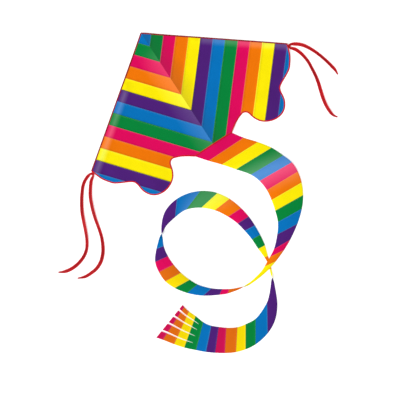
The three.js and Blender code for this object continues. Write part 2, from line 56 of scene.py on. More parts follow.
STRIPE_0, STRIPE_W = 47.3, 59.27
SPAR_INSET, SPAR_Z, SPAR_FROM, SPAR_TO = 16.0, 5.2, 278.0, 676.0
SPINE_Z, SPINE_FRONT, SPINE_REAR = 7.8, -16.0, -616.0
SPREADER_Y, SPREADER_Z, SPREADER_END = -230.0, 2.7, 271.0
KEEL_Z, KEEL_TILT = 4.2, math.radians(1.0)
EYELET = (143.0, -320.0)

TRAILING = [
    (557.6, -423.2), (548, -452), (537, -481), (519, -508), (501, -529), (479, -543), (454, -555.5),
    (430, -568), (415, -580), (408, -598), (405.5, -620), (401, -641), (390, -662), (375, -678.5),
    (356, -689.5), (333, -694.5), (308, -693.5), (283.5, -686), (264, -675), (247.5, -660),
    (234.5, -639), (228, -621), (223.5, -603), (218, -593), (210, -587), (199, -584.5), (186, -588),
    (163, -597), (133, -614.5), (104, -634.8),
]
TAIL = [
    (104.0, -635.3, -104.0, -635.3), (137.8, -685.6, -62.1, -687.9), (184.3, -740.4, -19.4, -736.2),
    (224.6, -798.6, 25.2, -793.1), (250.4, -859.5, 72.0, -852.6), (268.6, -910.5, 90.0, -900.3),
    (268.0, -962.0, 95.7, -956.5), (254.8, -1016.4, 88.0, -1008.5), (228.3, -1070.8, 74.9, -1061.0),
    (187.5, -1122.4, 56.7, -1113.6), (129.5, -1171.8, 22.1, -1160.7), (60.6, -1215.4, -30.0, -1211.8),
    (7.7, -1241.4, -64.9, -1231.2), (-51.7, -1264.4, -113.1, -1256.3), (-95.4, -1278.1, -137.7, -1267.7),
    (-142.0, -1286.5, -174.8, -1276.0), (-191.8, -1291.0, -212.4, -1282.0), (-249.0, -1289.0, -252.0, -1279.0),
    (-310.6, -1274.0, -292.3, -1266.0), (-329.8, -1271.0, -314.6, -1254.7), (-368.7, -1252.0, -342.2, -1236.7),
    (-435.5, -1213.6, -382.3, -1207.2), (-490.9, -1162.8, -429.2, -1153.9), (-530.2, -1107.6, -447.2, -1115.9),
    (-550.2, -1058.6, -465.2, -1063.7), (-551.4, -1004.2, -472.9, -1012.5), (-541.3, -953.7, -473.8, -964.0),
    (-501.3, -904.5, -464.6, -911.3), (-444.0, -852.5, -436.5, -863.5), (-395.8, -795.8, -417.6, -844.5),
    (-355.8, -769.4, -386.9, -833.0), (-288.4, -756.2, -343.7, -826.3), (-228.8, -763.6, -309.4, -821.8),
    (-173.5, -786.4, -281.0, -823.7), (-137.7, -812.0, -245.5, -836.5), (-110.1, -839.7, -212.7, -856.2),
    (-76.9, -893.8, -165.5, -901.2), (-54.8, -960.7, -130.1, -960.7), (-46.4, -1013.5, -108.8, -1013.9),
    (-44.9, -1066.3, -99.7, -1060.3), (-48.0, -1116.8, -92.5, -1114.1), (-55.3, -1171.9, -92.9, -1169.1),
    (-72.0, -1222.0, -89.6, -1219.2), (-80.5, -1254.0, -91.0, -1254.2), (-90.5, -1282.1, -100.5, -1281.7),
    (-107.0, -1322.3, -118.0, -1322.9), (-131.1, -1380.3, -156.9, -1370.9), (-156.5, -1436.8, -177.8, -1391.6),
    (-192.7, -1484.6, -186.2, -1399.2), (-233.1, -1517.0, -190.9, -1403.0), (-280.8, -1535.0, -193.5, -1405.3),
    (-350.4, -1545.6, -284.5, -1444.2), (-404.2, -1539.7, -339.3, -1438.2), (-451.4, -1525.5, -379.7, -1430.2),
    (-496.6, -1501.2, -427.3, -1402.6), (-535.9, -1473.9, -453.6, -1379.8), (-570.7, -1446.8, -481.3, -1356.7),
    (-604.6, -1413.9, -505.1, -1320.6), (-646.6, -1372.3, -518.1, -1275.7), (-677.5, -1333.9, -533.8, -1239.3),
    (-709.4, -1287.5, -540.5, -1209.2), (-732.8, -1258.6, -542.1, -1196.8),
]
PINK, ORANGE, YELLOW, GREEN, BLUE, PURPLE = "pink", "orange", "yellow", "green", "blue", "purple"
TAIL_COLOURS = {
    0: PINK, 1: ORANGE, 2: YELLOW, 3: GREEN, 4: BLUE, 5: PINK, 6: ORANGE, 7: YELLOW, 8: GREEN, 9: BLUE,
    10: PURPLE, 11: PINK, 12: ORANGE, 13: YELLOW, 17: ORANGE, 19: PINK, 20: PURPLE, 21: BLUE, 22: GREEN,
    23: YELLOW, 24: ORANGE, 25: PINK, 26: PURPLE, 27: BLUE, 28: PURPLE, 31: BLUE, 33: GREEN, 35: YELLOW,
    36: ORANGE, 37: PINK, 38: PURPLE, 39: BLUE, 40: GREEN, 41: YELLOW, 42: ORANGE, 44: YELLOW, 45: PURPLE, 50: BLUE,
    51: GREEN, 52: YELLOW, 53: ORANGE, 54: PINK, 55: PURPLE, 56: BLUE, 57: GREEN, 58: YELLOW, 59: ORANGE,
    60: PINK,
}
STREAMERS = {
    "streamer_outer_left": [(-569.5, -432.0), (-593.7, -437.6), (-624.8, -455.6), (-653.4, -487.9), (-676.9, -520.5), (-701.3, -561.6), (-720.6, -606.1), (-738.7, -651.4), (-755.9, -687.5), (-778.3, -720.3), (-804.2, -741.6), (-834.6, -755.0), (-867.6, -762.0), (-900.8, -762.1), (-929.5, -755.4), (-954.7, -742.4)],
    "streamer_inner_left": [(-562.5, -445.5), (-583.4, -461.0), (-605.3, -487.5), (-626.2, -518.3), (-642.6, -553.0), (-656.5, -590.8), (-668.1, -630.6), (-678.5, -676.3), (-690.1, -716.1), (-706.9, -752.5), (-726.5, -782.5), (-756.8, -810.7), (-790.4, -826.5), (-827.1, -831.1), (-859.2, -829.6), (-893.4, -816.5)],
    "streamer_outer_right": [(570.2, -434.4), (583.0, -441.0), (600.0, -453.1), (617.9, -471.1), (634.4, -496.6), (648.6, -526.4), (660.4, -559.2), (670.5, -595.4), (677.6, -629.1), (681.8, -653.6), (680.4, -678.2)],
    "streamer_inner_right": [(559.2, -447.0), (574.0, -464.0), (585.5, -488.5), (592.4, -517.4), (595.3, -550.5), (592.6, -586.3), (588.4, -625.2), (580.9, -662.0), (570.5, -697.4), (559.8, -735.2), (553.6, -769.4), (552.3, -802.5), (556.6, -829.7), (568.6, -848.4)],
}


def srgb(code):
    out = []
    for i in (0, 2, 4):
        c = int(code[i : i + 2], 16) / 255
        out.append(c / 12.92 if c <= 0.04045 else ((c + 0.055) / 1.055) ** 2.4)
    return (*out, 1.0)


COLOUR = {
    BLUE: srgb("0070B9"), GREEN: srgb("008238"), PINK: srgb("DC035A"), ORANGE: srgb("EE7500"),
    YELLOW: srgb("FBE900"), PURPLE: srgb("4C1D75"), "red": srgb("D0101E"),
}


def row(p):
    """Kite millimetres to the row frame in metres."""
    p = np.asarray(p, float)
    out = np.empty_like(p)
    out[..., 0] = (p[..., 0] + OX) / 1000
    out[..., 1] = (p[..., 1] + OY) / 1000
    out[..., 2] = p[..., 2] / 1000
    return out


# ------------------------------------------------------------------ camera first
cam_data = bpy.data.cameras.new("camera")
cam = bpy.data.objects.new("camera", cam_data)
bpy.context.scene.collection.objects.link(cam)
cam_data.sensor_width = 36
cam_data.lens = 72.4
cam_data.clip_end = 50
cam.location = (-0.0993, -0.1030, 4.0)
cam.rotation_euler = (0, 0, math.radians(-33.05))
bpy.context.scene.camera = cam


# ------------------------------------------------------------------ curves and heights
def smooth(t):
    c = np.clip(t, 0, 1)
    return c * c * (3 - 2 * c)


def catmull(points, per=24):
    """Centripetal Catmull-Rom through the points, sampled densely."""
    p = np.asarray(points, float)
    p = np.vstack([2 * p[0] - p[1], p, 2 * p[-1] - p[-2]])
    out = []
    for i in range(1, len(p) - 2):
        x0, x1, x2, x3 = p[i - 1], p[i], p[i + 1], p[i + 2]
        d0, d1, d2 = (max(1e-4, np.linalg.norm(b - a)) ** 0.5 for a, b in ((x0, x1), (x1, x2), (x2, x3)))
        t1 = ((x1 - x0) / d0 - (x2 - x0) / (d0 + d1) + (x2 - x1) / d1) * d1
        t2 = ((x2 - x1) / d1 - (x3 - x1) / (d1 + d2) + (x3 - x2) / d2) * d1
        for k in range(per):
            t = k / per
            out.append(x1 + t1 * t + (-3 * x1 + 3 * x2 - 2 * t1 - t2) * t**2 + (2 * x1 - 2 * x2 + t1 + t2) * t**3)
    out.append(p[-2])
    return np.array(out)


def spaced(p, step=None, n=None):
    d = np.r_[0, np.cumsum(np.linalg.norm(np.diff(p, axis=0), axis=1))]
    n = n or max(2, int(round(d[-1] / step)))
    t = np.linspace(0, d[-1], n + 1)
    return np.stack([np.interp(t, d, p[:, k]) for k in range(p.shape[1])], 1)


TRAIL = spaced(catmull(TRAILING, 40), n=130)
TRAIL_FINE = spaced(catmull(TRAILING, 40), step=4.0)


def sail_under(x, y):
    """Height of the underside of the sail's solid, as in the CAD."""
    x, y = np.asarray(x, float), np.asarray(y, float)
    ax = np.abs(x)
    d = ax * LE_IN[0] + y * LE_IN[1]
    s = ax * LE_DIR[0] + y * LE_DIR[1]
    te = np.full(ax.shape, 1e9)
    for q in TRAIL[::2]:
        te = np.minimum(te, np.hypot(ax - q[0], y - q[1]))
    rear = smooth(te / 80)
    hump = np.where(d > SPAR_INSET, 1 - (d - SPAR_INSET) / 45, 1 - (SPAR_INSET - d) / 19.8)
    along = smooth((s - 232) / 34)
    spar = np.clip(hump, 0, 1) ** 1.4 * along
    near = smooth(np.where(d > SPAR_INSET, 1 - (d - SPAR_INSET) / 70, 1.0)) * along
    mid = smooth((215 - ax) / 105)
    held = 1 - (1 - rear) * (1 - near) * (1 - mid)
    ridge = np.clip(1 - ax / 95, 0, 1) ** 1.6
    return 0.4 + 4.5 * held + 6.4 * ridge + 4.6 * spar


def sail_mid(x, y):
    """Height of the middle of the sail cloth: the CAD height plus soft tension waves, never lower."""
    x, y = np.asarray(x, float), np.asarray(y, float)
    ax = np.abs(x)
    d = ax * LE_IN[0] + y * LE_IN[1]
    s = ax * LE_DIR[0] + y * LE_DIR[1]
    free = smooth((d - 30) / 90) * smooth((ax - 60) / 120) * smooth((600 + y) / 120)
    fan = np.sin(d / 15.0 + 0.9 * np.sin(s / 83.0) + (x > 0) * 1.7) * 0.5 + 0.5
    slack = np.sin(s / 38.0 + 0.02 * d + (x > 0) * 0.6) * 0.5 + 0.5
    hem = smooth((d - 60) / 120) * (0.5 + 0.5 * np.sin(ax / 17.0 + (x > 0)))
    tail = smooth((-y - 470) / 90) * smooth((ax - 105) / 30)
    return sail_under(x, y) + CLOTH_TOP + free * (0.35 * fan + 0.9 * slack) + 0.8 * hem * tail


# ------------------------------------------------------------------ mesh helpers
def finish_mesh(name, me, mats, smooth_deg=40):
    me.polygons.foreach_set("use_smooth", [True] * len(me.polygons))
    if smooth_deg:
        me.set_sharp_from_angle(angle=math.radians(smooth_deg))
    o = bpy.data.objects.new(name, me)
    bpy.context.scene.collection.objects.link(o)
    for m in mats if isinstance(mats, (list, tuple)) else [mats]:
        me.materials.append(m)
    return o


def make(name, verts, faces, mats, smooth_deg=40, uv=None, convert=True):
    me = bpy.data.meshes.new(name)
    v = row(verts) if convert else np.asarray(verts, float)
    me.from_pydata([tuple(p) for p in v], [], [tuple(f) for f in faces])
    if uv is not None:
        layer = me.uv_layers.new(name="cloth")
        idx = np.zeros(len(me.loops), np.int32)
        me.loops.foreach_get("vertex_index", idx)
        layer.data.foreach_set("uv", np.asarray(uv, np.float32)[idx].ravel())
    bm = bmesh.new()
    bm.from_mesh(me)
    bmesh.ops.recalc_face_normals(bm, faces=bm.faces)
    bm.to_mesh(me)
    bm.free()
    me.update()
    return finish_mesh(name, me, mats, smooth_deg)


def sweep(sections, caps=True):
    """Closed surface through closed sections, (rows, points, 3)."""
    s = np.asarray(sections, float)
    n, m = s.shape[:2]
    faces = []
    for i in range(n - 1):
        for j in range(m):
            k = (j + 1) % m
            faces.append((i * m + j, i * m + k, (i + 1) * m + k, (i + 1) * m + j))
    if caps:
        faces.append(tuple(range(m)))
        faces.append(tuple((n - 1) * m + j for j in range(m)))
    return s.reshape(-1, 3), faces


def frame_of(a, d):
    d = np.asarray(d, float)
    d = d / np.linalg.norm(d)
    up = np.array([0, 0, 1.0]) if abs(d[2]) < 0.9 else np.array([1.0, 0, 0])
    u = np.cross(up, d)
    u /= np.linalg.norm(u)
    return d, u, np.cross(d, u)


def rounded(profile, r):
    """The profile with its inner corners rounded."""
    p = [np.array(q, float) for q in profile]
    out = [p[0]]
    for a, b, c in zip(p, p[1:], p[2:]):
        la, lc = np.linalg.norm(a - b), np.linalg.norm(c - b)
        k = min(r, la * 0.4, lc * 0.4)
        if k < 0.02:
            out.append(b)
            continue
        s, e = b + (a - b) / la * k, b + (c - b) / lc * k
        for t in (0, 0.25, 0.5, 0.75, 1):
            out.append((1 - t) ** 2 * s + 2 * t * (1 - t) * b + t * t * e)
    out.append(p[-1])
    return out


def lathe(name, profile, a, d, mat, sides=40, r=0.25, squeeze=None):
    """Turned piece. The profile starts and ends on the axis, or closes on itself."""
    ring = abs(profile[0][0]) > 1e-9
    prof = rounded(profile, r)
    if ring:
        prof = prof[:-1]
    d, u, w = frame_of(a, d)
    a = np.asarray(a, float)
    rows = []
    for rad, h in prof:
        if rad < 1e-6:
            rows.append([a + d * h])
        else:
            ang = np.linspace(0, 2 * math.pi, sides, endpoint=False)
            ru, rw = (rad, rad) if squeeze is None else squeeze(rad, h)
            rows.append([a + d * h + u * (ru * math.cos(t)) + w * (rw * math.sin(t)) for t in ang])
    verts, start = [], []
    for rr in rows:
        start.append(len(verts))
        verts.extend(rr)
    faces = []
    pairs = list(zip(range(len(rows) - 1), range(1, len(rows))))
    if ring:
        pairs.append((len(rows) - 1, 0))
    for i, j in pairs:
        ni, nj = len(rows[i]), len(rows[j])
        for k in range(sides):
            l = (k + 1) % sides
            if ni == 1 and nj == 1:
                continue
            if ni == 1:
                faces.append((start[i], start[j] + l, start[j] + k))
            elif nj == 1:
                faces.append((start[i] + k, start[i] + l, start[j]))
            else:
                faces.append((start[i] + k, start[i] + l, start[j] + l, start[j] + k))
    return make(name, verts, faces, mat, 50)


ROD = lambda r, l: [(0, 0), (r, 0), (r, l), (0, l)]
TUBE = lambda ro, ri, l: [(ri, 0), (ro, 0), (ro, l), (ri, l), (ri, 0)]
CUP = lambda ro, ri, wall, l: [(0, 0), (ro * 0.7, 0), (ro, 0.8), (ro, l), (ri, l), (ri, wall), (0, wall)]


def inside(poly, pts):
    """Even-odd test of many points against one polygon."""
    x, y = pts[:, 0], pts[:, 1]
    c = np.zeros(len(pts), bool)
    a, b = poly, np.roll(poly, -1, axis=0)
    for (x1, y1), (x2, y2) in zip(a, b):
        if y1 == y2:
            continue
        hit = ((y1 > y) != (y2 > y)) & (x < (x2 - x1) * (y - y1) / (y2 - y1) + x1)
        c ^= hit
    return c


def near_line(poly, pts, closed=True):
    """Distance of many points to a line of points."""
    a = poly if closed else poly[:-1]
    b = np.roll(poly, -1, axis=0) if closed else poly[1:]
    best = np.full(len(pts), 1e9)
    for p, q in zip(a, b):
        v = q - p
        l2 = max(1e-12, v @ v)
        t = np.clip(((pts - p) @ v) / l2, 0, 1)
        best = np.minimum(best, np.linalg.norm(pts - p - t[:, None] * v, axis=1))
    return best


def cloth_plate(name, outline, lines, grid, height, thick, mat, holes=(), keep_off=2.2, uv=False):
    """A thin closed cloth cut to an outline, with mesh lines along the given lines."""
    pts, edges = [list(p) for p in outline], []
    n = len(pts)
    edges += [(i, (i + 1) % n) for i in range(n)]
    for h in holes:
        b = len(pts)
        pts += [list(p) for p in h]
        edges += [(b + i, b + (i + 1) % len(h)) for i in range(len(h))]
    for l in lines:
        b = len(pts)
        pts += [list(p) for p in l]
        edges += [(b + i, b + i + 1) for i in range(len(l) - 1)]
    lo, hi = outline.min(0), outline.max(0)
    gx = np.arange(lo[0], hi[0], grid)
    gy = np.arange(lo[1], hi[1], grid * 0.87)
    g = np.array([(x + (grid / 2 if j % 2 else 0), y) for j, y in enumerate(gy) for x in gx])
    g = g[inside(outline, g)]
    g = g[near_line(outline, g) > keep_off]
    for h in holes:
        g = g[~inside(np.asarray(h), g)]
        g = g[near_line(np.asarray(h), g) > keep_off * 0.6]
    if lines:
        allp = np.vstack([np.asarray(l) for l in lines])
        keep = np.ones(len(g), bool)
        for i in range(0, len(g), 2000):
            dd = np.linalg.norm(g[i : i + 2000, None] - allp[None], axis=2).min(1)
            keep[i : i + 2000] = dd > grid * 0.55
        g = g[keep]
    pts += g.tolist()
    v, e, f, *_ = delaunay_2d_cdt([Vector(p) for p in pts], edges, [], 1, 1e-4)
    xy = np.array([(p.x, p.y) for p in v])
    tris = [tuple(t) for t in f]
    if holes:
        cen = np.array([xy[list(t)].mean(0) for t in tris])
        gone = np.zeros(len(tris), bool)
        for h in holes:
            gone |= inside(np.asarray(h), cen)
        tris = [t for t, k in zip(tris, gone) if not k]
    cen = np.array([xy[list(t)].mean(0) for t in tris])
    ok = inside(outline, cen)
    tris = [t for t, k in zip(tris, ok) if k]
    used = sorted({i for t in tris for i in t})
    remap = {i: k for k, i in enumerate(used)}
    xy = xy[used]
    tris = [tuple(remap[i] for i in t) for t in tris]
    area = lambda t: np.cross(xy[t[1]] - xy[t[0]], xy[t[2]] - xy[t[0]])
    tris = [t if area(t) > 0 else (t[0], t[2], t[1]) for t in tris]
    z = height(xy[:, 0], xy[:, 1])
    n = len(xy)
    top = np.c_[xy, z + thick / 2]
    bot = np.c_[xy, z - thick / 2]
    count = {}
    for t in tris:
        for a, b in ((t[0], t[1]), (t[1], t[2]), (t[2], t[0])):
            count[(a, b)] = count.get((a, b), 0) + 1
    rim = [(a, b) for (a, b) in count if (b, a) not in count]
    faces = [t for t in tris] + [(t[0] + n, t[2] + n, t[1] + n) for t in tris]
    faces += [(b, a, a + n, b + n) for a, b in rim]
    verts = np.vstack([top, bot])
    return make(name, verts, faces, mat, 60, uv=np.vstack([xy, xy]) / 1000 if uv else None)


# ------------------------------------------------------------------ material helpers
class Nodes:
    def __init__(self, name):
        self.mat = bpy.data.materials.new(name)
        self.mat.use_nodes = True
        self.nt = self.mat.node_tree
        self.nt.nodes.clear()
        self.out = self.nt.nodes.new("ShaderNodeOutputMaterial")
        self.bsdf = self.nt.nodes.new("ShaderNodeBsdfPrincipled")
        self.nt.links.new(self.bsdf.outputs[0], self.out.inputs[0])

    def put(self, socket, value):
        if isinstance(value, bpy.types.NodeSocket):
            self.nt.links.new(value, socket)
        else:
            socket.default_value = value

    def set(self, **kw):
        for k, v in kw.items():
            self.put(self.bsdf.inputs[k.replace("_", " ")], v)

    def m(self, op, a, b=0.0, c=0.0, clamp=False):
        n = self.nt.nodes.new("ShaderNodeMath")
        n.operation = op
        n.use_clamp = clamp
        for s, v in zip(n.inputs, (a, b, c)):
            self.put(s, v)
        return n.outputs[0]

    def attribute(self, name, out):
        n = self.nt.nodes.new("ShaderNodeAttribute")
        n.attribute_name = name
        return n.outputs[out]

    def coords(self, kind="Object"):
        n = self.nt.nodes.new("ShaderNodeTexCoord")
        return n.outputs[kind]

    def uv(self):
        n = self.nt.nodes.new("ShaderNodeUVMap")
        n.uv_map = "cloth"
        return n.outputs[0]

    def xyz(self, v):
        n = self.nt.nodes.new("ShaderNodeSeparateXYZ")
        self.put(n.inputs[0], v)
        return n.outputs

    def noise(self, v, scale, detail=3.0, rough=0.5):
        n = self.nt.nodes.new("ShaderNodeTexNoise")
        self.put(n.inputs["Vector"], v)
        n.inputs["Scale"].default_value = scale
        n.inputs["Detail"].default_value = detail
        n.inputs["Roughness"].default_value = rough
        return n.outputs["Fac"]

    def scale(self, v, xyz):
        n = self.nt.nodes.new("ShaderNodeVectorMath")
        n.operation = "MULTIPLY"
        self.put(n.inputs[0], v)
        n.inputs[1].default_value = xyz
        return n.outputs[0]

    def mix(self, f, a, b, kind="MIX"):
        n = self.nt.nodes.new("ShaderNodeMix")
        n.data_type = "RGBA"
        n.blend_type = kind
        self.put(n.inputs["Factor"], f)
        self.put(n.inputs[6], a)
        self.put(n.inputs[7], b)
        return n.outputs[2]

    def remap(self, v, a, b, c, d):
        n = self.nt.nodes.new("ShaderNodeMapRange")
        self.put(n.inputs[0], v)
        for i, x in enumerate((a, b, c, d)):
            n.inputs[i + 1].default_value = x
        n.interpolation_type = "SMOOTHSTEP"
        return n.outputs[0]

    def band(self, v, centre, half):
        """1 where v is within half of centre."""
        return self.m("COMPARE", v, centre, half)

    def gain(self, colour, v, low, high):
        """colour times a grey that runs from low to high with v."""
        g = self.m("MULTIPLY_ADD", v, high - low, low)
        n = self.nt.nodes.new("ShaderNodeVectorMath")
        n.operation = "SCALE"
        self.put(n.inputs[0], colour if isinstance(colour, bpy.types.NodeSocket) else tuple(colour)[:3])
        self.put(n.inputs["Scale"], g)
        return n.outputs[0]

    def lift(self, colour, w, gain, add):
        """The colour made brighter and a little paler where w is 1, and kept below white."""
        g = self.gain(colour, w, 1.0, gain)
        v = self.nt.nodes.new("ShaderNodeVectorMath")
        v.operation = "SCALE"
        v.inputs[0].default_value = (add, add, add)
        self.put(v.inputs["Scale"], w)
        n = self.nt.nodes.new("ShaderNodeVectorMath")
        n.operation = "ADD"
        self.put(n.inputs[0], g)
        self.put(n.inputs[1], v.outputs[0])
        c = self.nt.nodes.new("ShaderNodeVectorMath")
        c.operation = "MINIMUM"
        self.put(c.inputs[0], n.outputs[0])
        c.inputs[1].default_value = (0.97, 0.97, 0.97)
        return c.outputs[0]

    def bump(self, height, strength=0.5, distance=0.001):
        n = self.nt.nodes.new("ShaderNodeBump")
        n.inputs["Strength"].default_value = strength
        n.inputs["Distance"].default_value = distance
        self.put(n.inputs["Height"], height)
        self.put(self.bsdf.inputs["Normal"], n.outputs[0])


def weave(N, x, y, pitch):
    """Over-and-under weave height from two coordinates in millimetres."""
    a = N.m("SINE", N.m("MULTIPLY", x, 2 * math.pi / pitch))
    b = N.m("SINE", N.m("MULTIPLY", y, 2 * math.pi / pitch))
    return N.m("MULTIPLY", a, b)


def ripstop(N, x, y, cell, width):
    """1 on the thicker yarns of ripstop cloth."""
    fx = N.m("FRACT", N.m("DIVIDE", x, cell))
    fy = N.m("FRACT", N.m("DIVIDE", y, cell))
    return N.m("MAXIMUM", N.band(fx, 0.5, width / cell / 2), N.band(fy, 0.5, width / cell / 2))


def sail_material():
    """The print is fixed to the cloth: it reads where each point of the cloth lies at rest."""
    N = Nodes("sail_cloth")
    p = N.attribute("rest", "Vector")
    X, Y, _ = N.xyz(p)
    xs = N.m("SUBTRACT", N.m("MULTIPLY", X, 1000.0), OX)
    ax = N.m("ABSOLUTE", xs)
    a = N.m("SUBTRACT", OY, N.m("MULTIPLY", Y, 1000.0))
    F = N.m("DIVIDE", N.m("MULTIPLY_ADD", ax, 1.1769, a), 1.542)
    G = N.m("DIVIDE", N.m("MULTIPLY_ADD", a, -1.1769, ax), 1.5444)
    t = N.m("DIVIDE", N.m("SUBTRACT", F, STRIPE_0), STRIPE_W)
    ramp = N.nt.nodes.new("ShaderNodeValToRGB")
    cr = ramp.color_ramp
    cr.interpolation = "CONSTANT"
    order = [BLUE, GREEN, PINK, ORANGE, YELLOW, PURPLE, BLUE, GREEN, PINK, ORANGE, YELLOW, PURPLE, BLUE]
    cr.elements[0].position, cr.elements[0].color = 0.0, COLOUR[order[0]]
    cr.elements[1].position, cr.elements[1].color = 1 / 14, COLOUR[order[1]]
    for k in range(2, 13):
        e = cr.elements.new(k / 14)
        e.color = COLOUR[order[k]]
    N.put(ramp.inputs[0], N.m("DIVIDE", N.m("ADD", t, 1.0), 14.0))
    base = ramp.outputs[0]
    # painted highlight: the cloth is made lighter in a band along each spar, for the sheen of light on the humps the
    # spars raise
    d = N.m("MULTIPLY_ADD", ax, float(LE_IN[0]), N.m("MULTIPLY", a, float(-LE_IN[1])))
    s = N.m("MULTIPLY_ADD", ax, float(LE_DIR[0]), N.m("MULTIPLY", a, float(-LE_DIR[1])))
    spar_highlight_l = N.m("SUBTRACT", 1.0, N.m("DIVIDE", N.m("ABSOLUTE", N.m("SUBTRACT", d, 26.0)), 22.0), clamp=True)
    spar_highlight_l = N.m("MULTIPLY", N.m("MULTIPLY", N.m("POWER", spar_highlight_l, 1.2), 1.0), N.m("LESS_THAN", xs, 0.0))
    spar_highlight_r = N.m("SUBTRACT", 1.0, N.m("DIVIDE", N.m("ABSOLUTE", N.m("SUBTRACT", d, 11.0)), 27.0), clamp=True)
    spar_highlight_r = N.m("MULTIPLY", N.m("MULTIPLY", N.m("POWER", spar_highlight_r, 1.2), 0.85), N.m("GREATER_THAN", xs, 0.0))
    top = N.m("GREATER_THAN", N.attribute("face_up", "Fac"), 0.5)
    over = N.m("MULTIPLY", N.m("MULTIPLY", N.m("ADD", spar_highlight_l, spar_highlight_r), N.remap(s, 272, 300, 0, 1)), top)
    # painted highlight along the spars, on the upper face only
    base = N.lift(base, over, 1.15, 0.085)
    # painted light and shade at the ridge: the cloth left of the spine is painted lighter and the cloth right of it
    # greyer, for light falling across the ridge from the left
    painted_ridge_band = N.m("MULTIPLY", N.m("SUBTRACT", 1.0, N.m("DIVIDE", ax, 90.0), clamp=True), top)
    left = N.m("MULTIPLY", N.m("LESS_THAN", xs, 0.0), painted_ridge_band)
    right = N.m("MULTIPLY", N.m("GREATER_THAN", xs, 0.0), painted_ridge_band)
    # painted light on the left of the ridge
    base = N.lift(base, N.m("MULTIPLY", left, N.remap(a, 60, 170, 0, 1)), 1.06, 0.038)
    # painted shade on the right of the ridge
    base = N.mix(N.m("MULTIPLY", right, 0.22), base, (0.03, 0.03, 0.04, 1))
    rip = ripstop(N, ax, a, 5.0, 0.45)
    base = N.gain(base, rip, 1.0, 0.9)
    base = N.gain(base, N.noise(p, 11.0, 4.0), 0.93, 1.07)
    # stitching, two rows along each seam
    q = N.m("MULTIPLY", N.m("FRACT", t), STRIPE_W)
    rows = N.m("MAXIMUM", N.band(q, 1.5, 0.3), N.band(q, 4.6, 0.3))
    dash = N.m("LESS_THAN", N.m("FRACT", N.m("DIVIDE", G, 3.4)), 0.7)
    stitch = N.m("MULTIPLY", N.m("MULTIPLY", rows, dash), N.m("GREATER_THAN", t, 0.0))
    base = N.mix(N.m("MULTIPLY", stitch, 0.2), base, (0.75, 0.75, 0.75, 1))
    # the lapped seam is two cloths thick, so a little deeper in colour
    lap = N.m("MULTIPLY", N.m("LESS_THAN", q, 6.0), N.m("GREATER_THAN", t, 0.0))
    base = N.gain(base, lap, 1.0, 0.97)
    # painted shade: a thin dark line at the start of each purple stripe, along its seam with the yellow
    which = N.m("FLOOR", t)
    purple = N.m("MAXIMUM", N.m("COMPARE", which, 4.0), N.m("COMPARE", which, 10.0))
    # painted shade line on the purple at the yellow seam
    base = N.gain(base, N.m("MULTIPLY", purple, N.remap(q, 1.5, 4.4, 1, 0)), 1.0, 0.28)
    rough = N.m("MULTIPLY_ADD", N.noise(p, 60.0, 3.0), 0.14, 0.36)
    N.set(Base_Color=base, Roughness=rough)
    N.bsdf.inputs["Specular IOR Level"].default_value = 0.045
    N.bsdf.inputs["Sheen Weight"].default_value = 0.01
    N.bsdf.inputs["Sheen Roughness"].default_value = 0.4
    h = N.m("MULTIPLY", rip, 0.07)
    h = N.m("MULTIPLY_ADD", weave(N, ax, a, 0.9), 0.02, h)
    h = N.m("MULTIPLY_ADD", stitch, 0.14, h)
    h = N.m("MULTIPLY_ADD", N.noise(p, 26.0, 3.0, 0.6), 0.7, h)
    N.bump(h, 0.6, 0.001)
    return N.mat


def ribbon_material():
    N = Nodes("tail_ribbon")
    uv = N.uv()
    U, V, _ = N.xyz(uv)
    x, y = N.m("MULTIPLY", U, 1000.0), N.m("MULTIPLY", V, 1000.0)
    at = N.nt.nodes.new("ShaderNodeAttribute")
    at.attribute_name = "Col"
    base = at.outputs["Color"]
    seam = N.nt.nodes.new("ShaderNodeAttribute")
    seam.attribute_name = "seam"
    q = seam.outputs["Fac"]
    rip = ripstop(N, x, y, 5.0, 0.45)
    base = N.gain(base, rip, 1.0, 0.92)
    base = N.gain(base, N.noise(uv, 14.0, 4.0), 0.93, 1.07)
    rows = N.m("MAXIMUM", N.band(q, 1.2, 0.28), N.band(q, 3.0, 0.28))
    dash = N.m("LESS_THAN", N.m("FRACT", N.m("DIVIDE", x, 3.2)), 0.7)
    stitch = N.m("MULTIPLY", rows, dash)
    base = N.mix(N.m("MULTIPLY", stitch, 0.2), base, (0.75, 0.75, 0.75, 1))
    rough = N.m("MULTIPLY_ADD", N.noise(uv, 70.0, 3.0), 0.14, 0.33)
    N.set(Base_Color=base, Roughness=rough)
    N.bsdf.inputs["Specular IOR Level"].default_value = 0.045
    N.bsdf.inputs["Sheen Weight"].default_value = 0.01
    N.bsdf.inputs["Sheen Roughness"].default_value = 0.4
    h = N.m("MULTIPLY", rip, 0.06)
    h = N.m("MULTIPLY_ADD", weave(N, x, y, 0.9), 0.02, h)
    h = N.m("MULTIPLY_ADD", stitch, 0.12, h)
    h = N.m("MULTIPLY_ADD", N.noise(uv, 30.0, 3.0, 0.6), 0.6, h)
    N.bump(h, 0.6, 0.001)
    return N.mat


